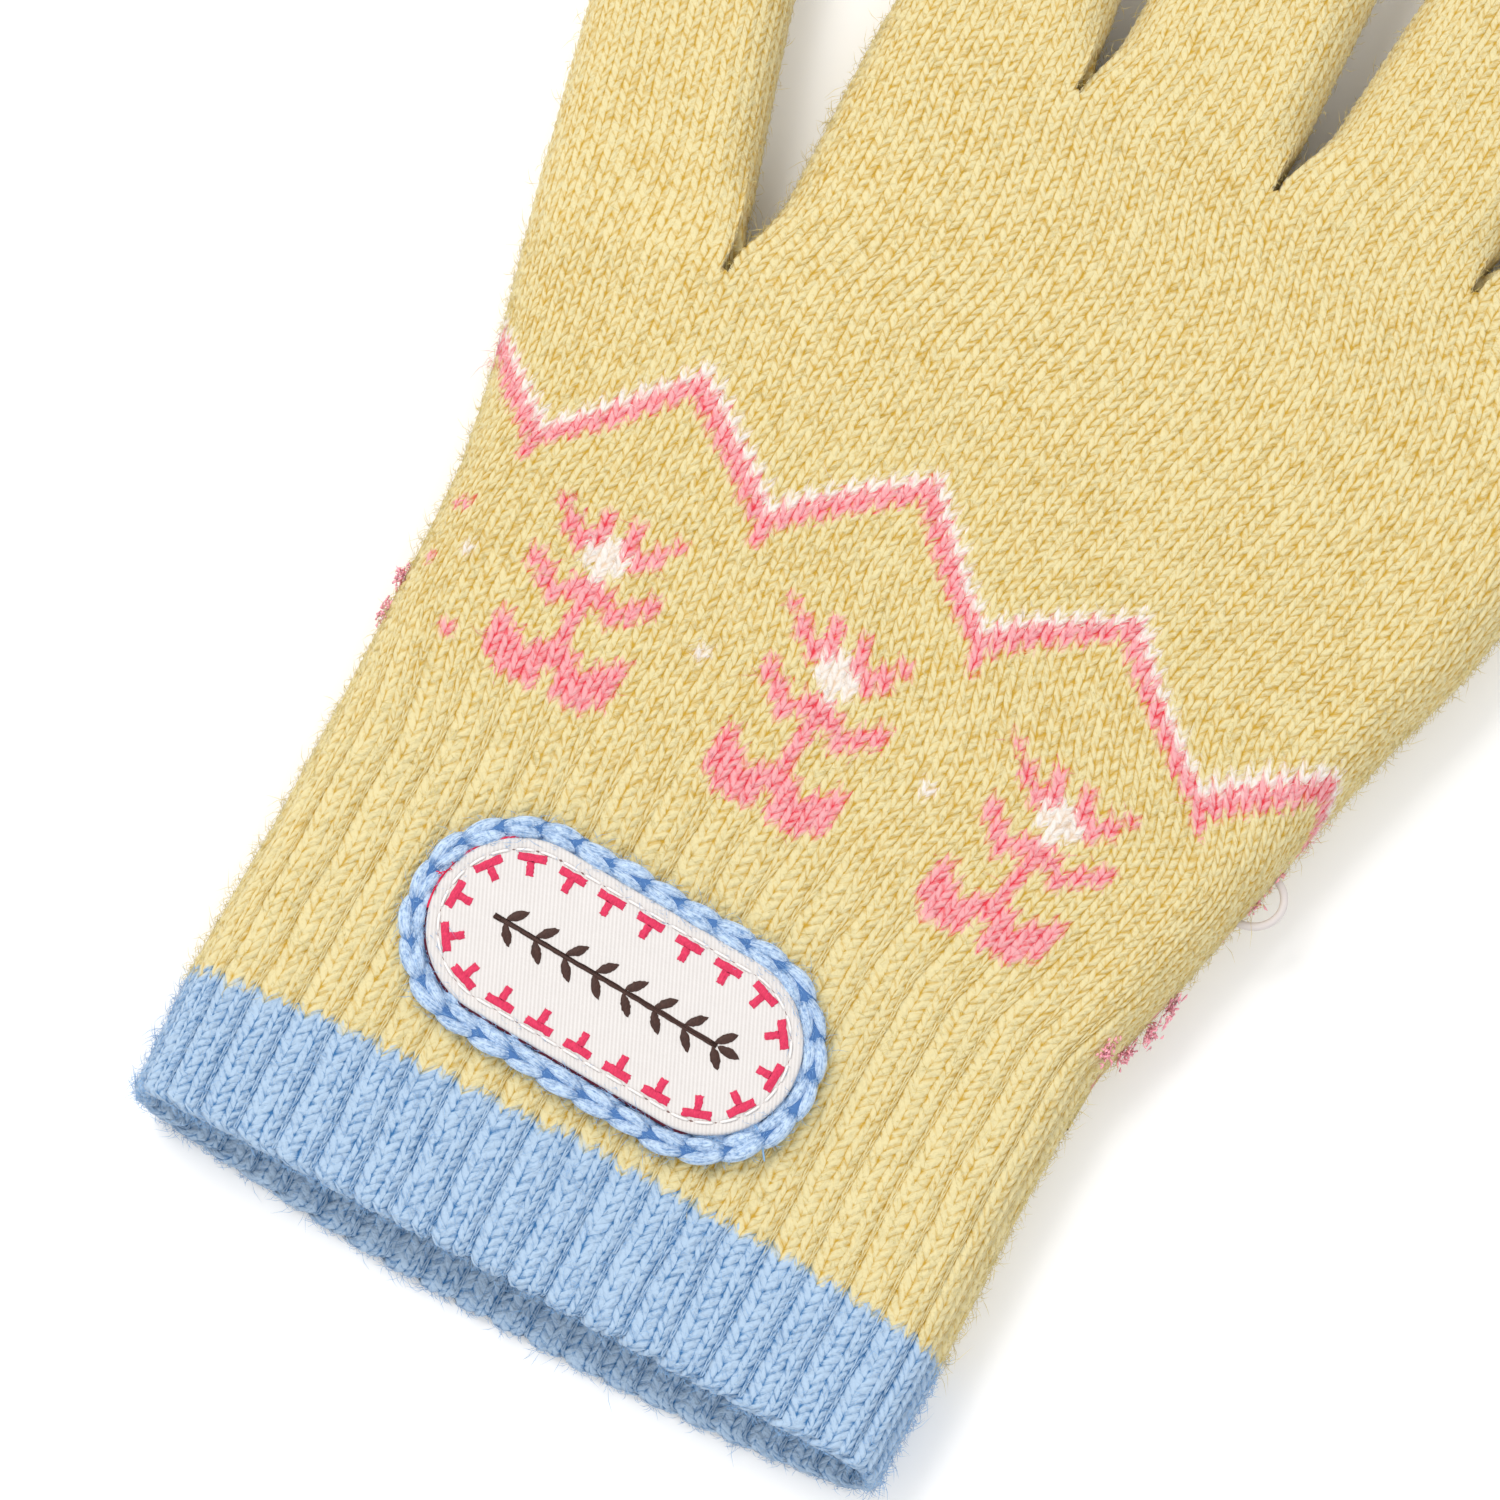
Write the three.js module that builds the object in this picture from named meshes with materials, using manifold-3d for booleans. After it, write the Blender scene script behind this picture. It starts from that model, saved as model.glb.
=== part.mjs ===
// Knitted wool glove for the right hand, lying flat with its back up.
// Millimetres. +Y runs from the cuff to the fingertips, +X towards the little finger, +Z up.
// Before it is centred, y is measured from the upper rim of the cuff and x from the wrist's middle.

import * as THREE from 'three';
import { mergeVertices } from 'three/addons/utils/BufferGeometryUtils.js';
import Module from 'manifold-3d';

const wasm = await Module();
wasm.setup();

// Knit
const WALL = 2.3;             // thickness of the knitted wall, over a rib
const FIT_GAP = 0.3;          // air between two pieces that touch
const RIBS = 44;              // ribs round the wrist
const RIB_DEPTH = 0.9;        // depth of the groove between two ribs
const RIB_GROOVE = 0.13;      // half of the groove's share of one rib
const RIB_FADE_START = 44;    // the ribs are whole up to here
const RIB_FADE_END = 56;      // and have run out into the plain knit here

// Cuff
const BAND_TOP = 14;          // where the band's colour ends and the glove's begins
const LOWER_LAYER_DROP = 2;   // how far the lower layer of the cuff lies beyond the upper one
const DROP_END = 60;          // where the two layers lie level again
const RIM_ROUND = 0.7;        // rounding of the rim's edge

// The hand below the fingers, one row for each section
const PALM = [
  { y: 0, left: -41.1, right: 41.7, thick: 10.4, crown: 0 },
  { y: 14, left: -41.7, right: 41.7, thick: 10.6, crown: 0 },
  { y: 30, left: -41.4, right: 41.5, thick: 10.6, crown: 0 },
  { y: 45, left: -42.0, right: 41.3, thick: 10.6, crown: 0 },
  { y: 60, left: -42.3, right: 44.9, thick: 11.3, crown: 0.4 },
  { y: 75, left: -42.7, right: 49.2, thick: 12.0, crown: 0.8 },
  { y: 88, left: -37.0, right: 52.8, thick: 12.4, crown: 1.0 },
  { y: 97, left: -28.4, right: 55.7, thick: 12.4, crown: 1.0 },
  { y: 104, left: -26.6, right: 57.2, thick: 12.2, crown: 0.9 },
  { y: 116, left: -26.8, right: 58.9, thick: 11.9, crown: 0.6 },
  { y: 126, left: -27.0, right: 59.8, thick: 11.5, crown: 0.3 },
  { y: 131, left: -27.0, right: 60.0, thick: 11.0, crown: 0 },
];
const KNUCKLE_Y = 131;        // the crotches between the fingers
const KNUCKLE_DOME = 2.2;     // how far the palm's end domes up between the fingers
const DOME_STEPS = [          // share of the dome's height, and of half the thickness lost there
  [0, 0],
  [0.6, 0.2],
  [1, 0.52],
];

// The fingers: x is the middle of the root, lean is degrees away from +Y towards +X
const FINGERS = [
  { name: 'index', x: -15.9, lean: -5.0, rootWidth: 22.0, tipWidth: 18.6, length: 66 },
  { name: 'middle', x: 6.3, lean: -0.6, rootWidth: 22.0, tipWidth: 18.8, length: 75 },
  { name: 'ring', x: 28.5, lean: 4.2, rootWidth: 22.0, tipWidth: 18.2, length: 69 },
  { name: 'little', x: 49.8, lean: 9.2, rootWidth: 20.0, tipWidth: 16.4, length: 54 },
];
const FINGER_THICK_ROOT = 11.0;
const FINGER_THICK_TIP = 9.6;
const FINGER_OVERLAP = 16;    // how far a finger's tube runs back into the palm
const FINGERS_START = 118;    // the fingers' own piece begins here, a little below their crotches
const FINGERS_SIDE_X = -29.7; // and to the right of a line from here, parallel to the index finger
const REACH = 400;            // wider than the whole glove
const TIP_LIFT = 0.4;         // share of the tip's thinning that is underneath
const TIP_ROUND = 0.5;        // radius of the round tip, as a share of its width

// The thumb leaves the hand lower down, at its own crotch
const THUMB = { name: 'thumb', x: -38.3, lean: -15, rootWidth: 22.2, tipWidth: 19.4, length: 52 };
const THUMB_Y = 99;
const THUMB_OVERLAP = 36;
const THUMB_THICK_ROOT = 11.0;

// Label and its braid, on the upper layer of the wrist
const LABEL_X = -3.85;
const LABEL_Y = 30.4;
const LABEL_TURN = -2.7;      // degrees
const LABEL_LENGTH = 39;
const LABEL_WIDTH = 18.2;
const LABEL_THICK = 1.3;
const LABEL_BEVEL = 0.25;
const BRAID_WIDTH = 2.4;
const BRAID_HEIGHT = 2.1;
const BRAID_LINKS = 28;
const BRAID_PINCH = 0.22;     // how much a link narrows where the next one leaves it

// Mesh fineness
const FINGER_STATIONS = [0, 0.3, 0.62];      // rings along a finger, as shares of its length
const TIP_ANGLES = [0, 28, 50, 68, 82];      // rings round the tip, in degrees
const HOLLOW_TIP_ANGLES = [0, 35, 70];       // and round the end of the hollow inside it
const LABEL_ARC_STEPS = 12;
const COLUMNS_PER_RIB = 3;
const FINGER_COLUMNS = 24;
const PALM_HOLLOW_COLUMNS = 44;    // round the hollow inside the palm
const HOLLOW_COLUMNS = 16;    // round the hollow inside a finger
const LINK_STEPS = 4;
const BRAID_SIDES = 8;

const WOOL_YELLOW = new THREE.MeshStandardMaterial({ color: 0xeddc9c, roughness: 0.95, metalness: 0 });
const WOOL_BLUE = new THREE.MeshStandardMaterial({ color: 0xa9c8ee, roughness: 0.95, metalness: 0 });
const LABEL_WHITE = new THREE.MeshStandardMaterial({ color: 0xf2ede8, roughness: 0.85, metalness: 0 });
const BRAID_BLUE = new THREE.MeshStandardMaterial({ color: 0xb4d0f0, roughness: 0.9, metalness: 0 });

// A smooth step from 0 at a to 1 at b.
function smooth(a, b, value) {
  return THREE.MathUtils.smoothstep(value, a, b);
}

// One value of the palm table at a height between its rows.
function palmValue(column, y) {
  const upper = Math.max(1, PALM.findIndex((row) => row.y >= y));
  const a = PALM[upper - 1];
  const b = PALM[upper];
  const t = THREE.MathUtils.clamp((y - a.y) / (b.y - a.y), 0, 1);
  return THREE.MathUtils.lerp(a[column], b[column], t);
}

// A section of a tube that lies flat: two straight layers joined by half-round folds.
// The fraction f runs from the left fold over the top to the right fold and back underneath.
// An inset moves the whole section inwards.
function sectionPoint(f, { left, right, thick, crown, inset = 0 }) {
  const radius = thick / 2 - inset;
  const straight = (right - left) / 2 - thick / 2;
  const reach = straight + (Math.PI * radius) / 2;
  const top = f < 0.5;
  const q = top ? (4 * f - 1) * reach : (3 - 4 * f) * reach;
  const bend = Math.max(Math.abs(q) - straight, 0) / radius;
  const x = Math.sign(q) * (Math.min(Math.abs(q), straight) + radius * Math.sin(bend));
  const rise = radius * Math.cos(bend);
  const share = x / (straight + radius);
  const domed = top ? crown * (1 - share * share) : 0;
  const z = thick / 2 + (top ? rise + domed : -rise);
  return { x: (left + right) / 2 + x, z };
}

// The lower layer lies a little further out than the upper one near the cuff.
function layerDrop(y, z, thick) {
  const lower = 1 - smooth(0, thick, z);
  return -LOWER_LAYER_DROP * lower * (1 - smooth(0, DROP_END, y));
}

// One ring of the wrist and palm, with or without the ribs' grooves.
function palmRing(y, columns, { inset = 0, ribbed = false } = {}) {
  const section = {
    left: palmValue('left', y),
    right: palmValue('right', y),
    thick: palmValue('thick', y),
    crown: palmValue('crown', y),
  };
  const groove = ribbed ? RIB_DEPTH * (1 - smooth(RIB_FADE_START, RIB_FADE_END, y)) : 0;
  const ring = [];
  for (let i = 0; i < columns; i += 1) {
    const place = i % COLUMNS_PER_RIB;
    const pull = 1 / COLUMNS_PER_RIB - RIB_GROOVE;
    const shift = ribbed ? [0, -pull, pull][place] * COLUMNS_PER_RIB : 0;
    const depth = ribbed && place === 0 ? groove : 0;
    const f = (i + shift) / columns;
    const point = sectionPoint(f, { ...section, inset: inset + depth });
    ring.push(new THREE.Vector3(point.x, y + layerDrop(y, point.z, section.thick), point.z));
  }
  return ring;
}

// One ring of a finger or thumb, in its own frame with the root at y = 0.
function fingerRing(y, width, thick, columns) {
  const section = { left: -width / 2, right: width / 2, thick: Math.min(thick, width), crown: 0 };
  const ring = [];
  for (let i = 0; i < columns; i += 1) {
    const point = sectionPoint(i / columns, section);
    ring.push(new THREE.Vector3(point.x, y, point.z));
  }
  return ring;
}

// A closed body through a row of rings. A ring may have as many points as the last, or half.
function loft(rings) {
  const positions = [];
  const indices = [];
  const starts = [];
  for (const ring of rings) {
    starts.push(positions.length / 3);
    for (const point of ring) {
      positions.push(point.x, point.y, point.z);
    }
  }
  for (let r = 0; r + 1 < rings.length; r += 1) {
    const near = (i) => starts[r] + (i % rings[r].length);
    const far = (i) => starts[r + 1] + (i % rings[r + 1].length);
    const halved = rings[r].length === 2 * rings[r + 1].length;
    for (let i = 0; i < rings[r + 1].length; i += 1) {
      if (halved) {
        indices.push(near(2 * i), near(2 * i + 1), far(i));
        indices.push(near(2 * i + 1), near(2 * i + 2), far(i + 1));
        indices.push(near(2 * i + 1), far(i + 1), far(i));
      } else {
        indices.push(near(i), near(i + 1), far(i + 1));
        indices.push(near(i), far(i + 1), far(i));
      }
    }
  }
  for (const [r, turned] of [[0, true], [rings.length - 1, false]]) {
    const ring = rings[r];
    const middle = ring.reduce((sum, point) => sum.add(point), new THREE.Vector3());
    middle.divideScalar(ring.length);
    const centre = positions.length / 3;
    positions.push(middle.x, middle.y, middle.z);
    for (let i = 0; i < ring.length; i += 1) {
      const a = starts[r] + i;
      const b = starts[r] + ((i + 1) % ring.length);
      indices.push(centre, turned ? b : a, turned ? a : b);
    }
  }
  const geometry = new THREE.BufferGeometry();
  geometry.setAttribute('position', new THREE.Float32BufferAttribute(positions, 3));
  geometry.setIndex(indices);
  return geometry;
}

// A closed geometry as a solid that can be joined and cut.
function toSolid(geometry) {
  const merged = mergeVertices(geometry, 1e-4);
  return new wasm.Manifold(new wasm.Mesh({
    numProp: 3,
    vertProperties: new Float32Array(merged.attributes.position.array),
    triVerts: new Uint32Array(merged.index.array),
  }));
}

// And back, as a geometry with plain facets.
function toGeometry(solid) {
  const mesh = solid.getMesh();
  const geometry = new THREE.BufferGeometry();
  geometry.setAttribute('position', new THREE.BufferAttribute(mesh.vertProperties, 3));
  geometry.setIndex(new THREE.BufferAttribute(mesh.triVerts, 1));
  geometry.computeVertexNormals();
  return geometry;
}

// The wrist and palm as one body: outside with ribs, or the hollow inside it.
function palmBody(hollow) {
  const fine = RIBS * COLUMNS_PER_RIB;
  const inset = hollow ? WALL : 0;
  const rings = [];
  const start = BAND_TOP + FIT_GAP;
  const last = KNUCKLE_Y - inset;
  const columns = hollow ? PALM_HOLLOW_COLUMNS : fine / 2;
  const between = (low, high) => PALM.map((row) => row.y).filter((y) => y > low && y < high);
  if (hollow) {
    rings.push(palmRing(0, columns, { inset }));
  } else {
    const fading = (RIB_FADE_START + RIB_FADE_END) / 2;
    for (const y of [start, ...between(start, RIB_FADE_START), RIB_FADE_START, fading]) {
      rings.push(palmRing(y, fine, { ribbed: true }));
    }
  }
  for (const y of [RIB_FADE_END, ...between(RIB_FADE_END, last)]) {
    rings.push(palmRing(y, columns, { inset }));
  }
  for (const [rise, shrink] of DOME_STEPS) {
    const thin = shrink * (palmValue('thick', last) / 2);
    rings.push(palmRing(last, columns, { inset: inset + thin }).map((point) => {
      point.y = last + rise * KNUCKLE_DOME;
      return point;
    }));
  }
  return toSolid(loft(rings));
}

// A finger or the thumb as one body: a tube that narrows and closes in a round tip.
function fingerBody(finger, rootY, overlap, thickRoot, hollow) {
  const inset = hollow ? WALL : 0;
  const columns = hollow ? HOLLOW_COLUMNS : FINGER_COLUMNS;
  const end = finger.length - inset;
  const rings = [];
  const tipRound = finger.tipWidth * TIP_ROUND;
  const stations = [-overlap, ...FINGER_STATIONS.map((share) => share * finger.length)];
  for (const angle of hollow ? HOLLOW_TIP_ANGLES : TIP_ANGLES) {
    stations.push(end - tipRound + tipRound * Math.sin(THREE.MathUtils.degToRad(angle)));
  }
  for (const y of stations) {
    const along = THREE.MathUtils.clamp(y / finger.length, 0, 1);
    const width = THREE.MathUtils.lerp(finger.rootWidth, finger.tipWidth, along) - 2 * inset;
    const thick = THREE.MathUtils.lerp(thickRoot, FINGER_THICK_TIP, along);
    const past = Math.max(0, y - (end - tipRound)) / tipRound;
    const shrink = Math.sqrt(1 - past * past);
    const depth = (thick - 2 * inset) * Math.sqrt(shrink);
    const ring = fingerRing(y, width * shrink, depth, columns);
    const lift = inset + TIP_LIFT * (thick - 2 * inset - depth);
    for (const point of ring) {
      point.z += lift;
    }
    rings.push(ring);
  }
  const geometry = loft(rings);
  geometry.rotateZ(THREE.MathUtils.degToRad(-finger.lean));
  geometry.translate(finger.x, rootY, 0);
  return toSolid(geometry);
}

// The whole outside, or the whole hollow, of the glove above its cuff band.
function gloveBody(hollow) {
  let body = palmBody(hollow);
  body = body.add(fingerBody(THUMB, THUMB_Y, THUMB_OVERLAP, THUMB_THICK_ROOT, hollow));
  for (const finger of FINGERS) {
    body = body.add(fingerBody(finger, KNUCKLE_Y, FINGER_OVERLAP, FINGER_THICK_ROOT, hollow));
  }
  return body;
}

// The space that belongs to the fingers' piece: above their start and beside the thumb.
function fingersSpace() {
  const lean = THREE.MathUtils.degToRad(FINGERS[0].lean);
  const across = new THREE.Vector3(Math.cos(lean), -Math.sin(lean), 0);
  const corner = new THREE.Vector3(FINGERS_SIDE_X, FINGERS_START, 0);
  return wasm.Manifold.cube([REACH, REACH, REACH], true)
    .translate([0, FINGERS_START + REACH / 2, 0])
    .trimByPlane(across.toArray(), corner.dot(across));
}

// The ribbed band round the mouth: an outer and an inner skin joined at both rims.
function cuffBand() {
  const columns = RIBS * COLUMNS_PER_RIB;
  const past = 2 * WALL;      // the hollow runs out past both rims
  const outer = loft([
    palmRing(0, columns, { ribbed: true, inset: RIM_ROUND }),
    palmRing(RIM_ROUND, columns, { ribbed: true }),
    palmRing(BAND_TOP, columns, { ribbed: true }),
  ]);
  const inner = loft([
    palmRing(-past, PALM_HOLLOW_COLUMNS, { inset: WALL }),
    palmRing(BAND_TOP + past, PALM_HOLLOW_COLUMNS, { inset: WALL }),
  ]);
  return toGeometry(toSolid(outer).subtract(toSolid(inner)));
}

// The outline of the label or of a line round it: two straight sides and two half circles.
function stadiumShape(length, width) {
  const half = (length - width) / 2;
  const radius = width / 2;
  const shape = new THREE.Shape();
  shape.moveTo(-half, -radius);
  shape.lineTo(half, -radius);
  shape.absarc(half, 0, radius, -Math.PI / 2, Math.PI / 2, false);
  shape.lineTo(-half, radius);
  shape.absarc(-half, 0, radius, Math.PI / 2, (3 * Math.PI) / 2, false);
  return shape;
}

function labelGeometry() {
  const inner = 2 * LABEL_BEVEL;       // taken off both sides, for the bevel
  return new THREE.ExtrudeGeometry(stadiumShape(LABEL_LENGTH - inner, LABEL_WIDTH - inner), {
    depth: LABEL_THICK - inner,
    bevelThickness: LABEL_BEVEL,
    bevelSize: LABEL_BEVEL,
    bevelSegments: 1,
    curveSegments: LABEL_ARC_STEPS,
  }).translate(0, 0, LABEL_BEVEL);
}

// A chain of swelling links that closes on itself round the label.
function braidGeometry() {
  const grown = 2 * FIT_GAP + BRAID_WIDTH;
  const path = stadiumShape(LABEL_LENGTH + grown, LABEL_WIDTH + grown);
  const steps = BRAID_LINKS * LINK_STEPS;
  const points = path.getSpacedPoints(steps).slice(0, steps);
  const positions = [];
  const indices = [];
  points.forEach((point, i) => {
    const next = points[(i + 1) % steps];
    const last = points[(i + steps - 1) % steps];
    const out = new THREE.Vector2(next.y - last.y, last.x - next.x).normalize();
    const swell = 1 - BRAID_PINCH * Math.cos((Math.PI * (i % LINK_STEPS)) / LINK_STEPS) ** 2;
    for (let k = 0; k < BRAID_SIDES; k += 1) {
      const angle = (2 * Math.PI * k) / BRAID_SIDES;
      const across = (BRAID_WIDTH / 2) * swell * Math.cos(angle);
      const up = (BRAID_HEIGHT / 2) * (1 + swell * Math.sin(angle));
      positions.push(point.x + out.x * across, point.y + out.y * across, up);
    }
  });
  const at = (i, k) => (i % steps) * BRAID_SIDES + (k % BRAID_SIDES);
  for (let i = 0; i < steps; i += 1) {
    for (let k = 0; k < BRAID_SIDES; k += 1) {
      indices.push(at(i, k), at(i + 1, k), at(i + 1, k + 1));
      indices.push(at(i, k), at(i + 1, k + 1), at(i, k + 1));
    }
  }
  const geometry = new THREE.BufferGeometry();
  geometry.setAttribute('position', new THREE.Float32BufferAttribute(positions, 3));
  geometry.setIndex(indices);
  geometry.computeVertexNormals();
  return geometry;
}

// A named piece of the glove.
function piece(name, geometry, material) {
  const mesh = new THREE.Mesh(geometry, material);
  mesh.name = name;
  return mesh;
}

const patch = new THREE.Group();
patch.add(piece('label', labelGeometry(), LABEL_WHITE));
patch.add(piece('label_braid', braidGeometry(), BRAID_BLUE));
patch.position.set(LABEL_X, LABEL_Y, palmValue('thick', LABEL_Y) + FIT_GAP);
patch.rotation.z = THREE.MathUtils.degToRad(LABEL_TURN);

const tube = gloveBody(false).subtract(gloveBody(true));
const hand = tube.subtract(fingersSpace());
const fingers = tube.intersect(fingersSpace().translate([0, FIT_GAP, 0]));

const glove = new THREE.Group();
glove.add(piece('hand', toGeometry(hand), WOOL_YELLOW));
glove.add(piece('fingers', toGeometry(fingers), WOOL_YELLOW));
glove.add(piece('cuff_band', cuffBand(), WOOL_BLUE));
glove.add(patch);

// The origin is under the middle of the glove, on the surface that it lies on.
glove.updateMatrixWorld(true);
const box = new THREE.Box3().setFromObject(glove, true);
const middle = box.getCenter(new THREE.Vector3());
glove.position.set(-middle.x, -middle.y, -box.min.z);

export default glove;
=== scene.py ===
# %% [markdown]
# A knitted wool glove lies flat on a pale table with its back up. It is a right-hand glove of
# soft, hairy yarn: a blue rib band at the mouth, yellow ribs over the wrist, plain knit with a
# row of small flowers and a zigzag, four fingers and a thumb. An oval woven label with a crochet
# chain round it is sewn to the wrist.
#
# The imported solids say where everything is. They hold the right sizes, but a solid has no
# stitches, so every soft part is made again here, stitch by stitch, inside the same skin.

# %% The frame and the units
import math

import bpy
import numpy as np
from mathutils import Matrix, Vector


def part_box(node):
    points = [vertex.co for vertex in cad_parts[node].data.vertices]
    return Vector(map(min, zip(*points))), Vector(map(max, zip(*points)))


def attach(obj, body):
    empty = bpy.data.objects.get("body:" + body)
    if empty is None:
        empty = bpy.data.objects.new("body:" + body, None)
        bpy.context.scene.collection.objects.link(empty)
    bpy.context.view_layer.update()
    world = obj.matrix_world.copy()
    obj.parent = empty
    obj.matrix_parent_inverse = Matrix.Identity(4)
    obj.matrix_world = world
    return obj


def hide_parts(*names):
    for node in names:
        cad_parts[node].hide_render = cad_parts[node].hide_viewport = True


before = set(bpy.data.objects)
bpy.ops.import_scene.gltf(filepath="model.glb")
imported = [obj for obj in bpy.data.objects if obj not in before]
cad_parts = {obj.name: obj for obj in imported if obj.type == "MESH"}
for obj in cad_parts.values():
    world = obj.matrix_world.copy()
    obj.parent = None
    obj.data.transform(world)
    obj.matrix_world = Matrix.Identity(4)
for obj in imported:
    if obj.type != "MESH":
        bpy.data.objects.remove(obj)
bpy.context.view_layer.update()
MM = 0.001                      # the knit is worked out in millimetres and placed in metres
LABEL_AT = np.array([-3.85, 30.4])     # middle of the label, from the wrist's middle and the rim
label_low, label_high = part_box("label")
label_middle = (np.array(label_low) + np.array(label_high))[:2] / 2 / MM
GLOVE_SHIFT = np.array([*(label_middle - LABEL_AT), 0.0])
print("glove frame starts at", GLOVE_SHIFT.round(3), "mm")

# %% [markdown]
# The picture looks down on the glove, a little from the cuff's side, with a long lens from about
# an arm's length. The long lens keeps the ribs parallel. The camera comes first, because every
# later choice of detail depends on how near it is.

# %% Camera
VIEW_MIDDLE = np.array([-3.2, 57.3, 11.0])     # what the middle of the picture shows, glove frame
VIEW_WIDTH = 147.0                            # how much of the glove's plane the picture takes in
VIEW_UP = np.array([-0.469, 0.883])           # the picture's up direction on the table
VIEW_TILT = math.radians(10)
VIEW_DISTANCE = 620.0
SENSOR = 36.0


def glove_to_world(points):
    """Each point is moved from the glove's own frame to the shared one, and from mm to metres."""
    return (np.asarray(points) + GLOVE_SHIFT) * MM


camera_data = bpy.data.cameras.new("picture")
camera_data.sensor_width = SENSOR
camera_data.lens = SENSOR * VIEW_DISTANCE / VIEW_WIDTH
camera_data.clip_start = 0.01
camera_data.clip_end = 20.0
camera = bpy.data.objects.new("picture", camera_data)
bpy.context.collection.objects.link(camera)
away = np.array([*(-VIEW_UP * math.sin(VIEW_TILT)), math.cos(VIEW_TILT)])
up_hint = Vector((*(VIEW_UP * math.cos(VIEW_TILT)), math.sin(VIEW_TILT)))
back = Vector(away)
side = up_hint.cross(back).normalized()
turn = Matrix((side, back.cross(side), back)).transposed()
camera.matrix_world = Matrix.Translation(
    glove_to_world(VIEW_MIDDLE + away * VIEW_DISTANCE)
) @ turn.to_4x4()
bpy.context.scene.camera = camera
bpy.context.scene.view_settings.view_transform = "Standard"
print("lens", round(camera_data.lens, 1), "mm, tilt", round(math.degrees(VIEW_TILT), 1))

# %% [markdown]
# The table is white and almost shadowless. One broad light stands high on the left, a second
# fills in from the right, and the sky gives the rest, so the wool shows its relief without any
# hard edge and only the right side of the glove throws a soft grey shadow.

# %% Table and light
TABLE_SIDE = 4.0
KEY_SIZE, KEY_POWER, KEY_PLACE = 0.7, 11.0, (-0.75, 0.35, 1.0)
FILL_SIZE, FILL_POWER, FILL_PLACE = 1.2, 7.5, (0.8, -0.7, 1.1)
SKY_STRENGTH = 0.80


def area_light(name, place, size, power, colour):
    """A square lamp of that size at a place in metres, turned to face the glove's middle."""
    data = bpy.data.lights.new(name, "AREA")
    data.shape = "SQUARE"
    data.size = size
    data.energy = power
    data.color = colour
    lamp = bpy.data.objects.new(name, data)
    lamp.location = place
    lamp.rotation_euler = (-Vector(place)).to_track_quat("-Z", "Y").to_euler()
    bpy.context.collection.objects.link(lamp)


table_mesh = bpy.data.meshes.new("table")
half = TABLE_SIDE / 2
table_mesh.from_pydata([(-half, -half, 0), (half, -half, 0), (half, half, 0), (-half, half, 0)],
                       [], [(0, 1, 2, 3)])
table = bpy.data.objects.new("table", table_mesh)
bpy.context.collection.objects.link(table)
area_light("key", KEY_PLACE, KEY_SIZE, KEY_POWER, (1.0, 0.985, 0.96))
area_light("fill", FILL_PLACE, FILL_SIZE, FILL_POWER, (0.96, 0.98, 1.0))
world = bpy.data.worlds.new("room")
world.use_nodes = True
world.node_tree.nodes["Background"].inputs["Color"].default_value = (1, 1, 1, 1)
world.node_tree.nodes["Background"].inputs["Strength"].default_value = SKY_STRENGTH
bpy.context.scene.world = world
print("table", TABLE_SIDE, "m, lamps", KEY_SIZE, FILL_SIZE)

# %% [markdown]
# Materials are written as sums. A socket wrapped in `Reading` adds a Math node for every
# operator, so a mask reads as it would on paper, and `Finish.node` adds any other node from its
# type, its settings and the values of its sockets.

# %% Shader writing
class Reading:
    """A socket that can be added, multiplied and so on; each sign is one Math node."""

    def __init__(self, socket):
        self.socket = socket

    def _math(self, operation, first, second):
        tree = self.socket.id_data
        made = tree.nodes.new("ShaderNodeMath")
        made.operation = operation
        for entry, item in zip(made.inputs, (first, second)):
            if isinstance(item, Reading):
                tree.links.new(item.socket, entry)
            else:
                entry.default_value = item
        return Reading(made.outputs[0])

    def __add__(self, other):
        return self._math("ADD", self, other)

    def __radd__(self, other):
        return self._math("ADD", other, self)

    def __sub__(self, other):
        return self._math("SUBTRACT", self, other)

    def __rsub__(self, other):
        return self._math("SUBTRACT", other, self)

    def __mul__(self, other):
        return self._math("MULTIPLY", self, other)

    def __rmul__(self, other):
        return self._math("MULTIPLY", other, self)

    def __pow__(self, other):
        return self._math("POWER", self, other)

    def __mod__(self, other):
        return self._math("FLOORED_MODULO", self, other)

    def __abs__(self):
        return self._math("ABSOLUTE", self, 0.0)

    def at_least(self, other):
        """The larger of the two."""
        return self._math("MAXIMUM", self, other)


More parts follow.
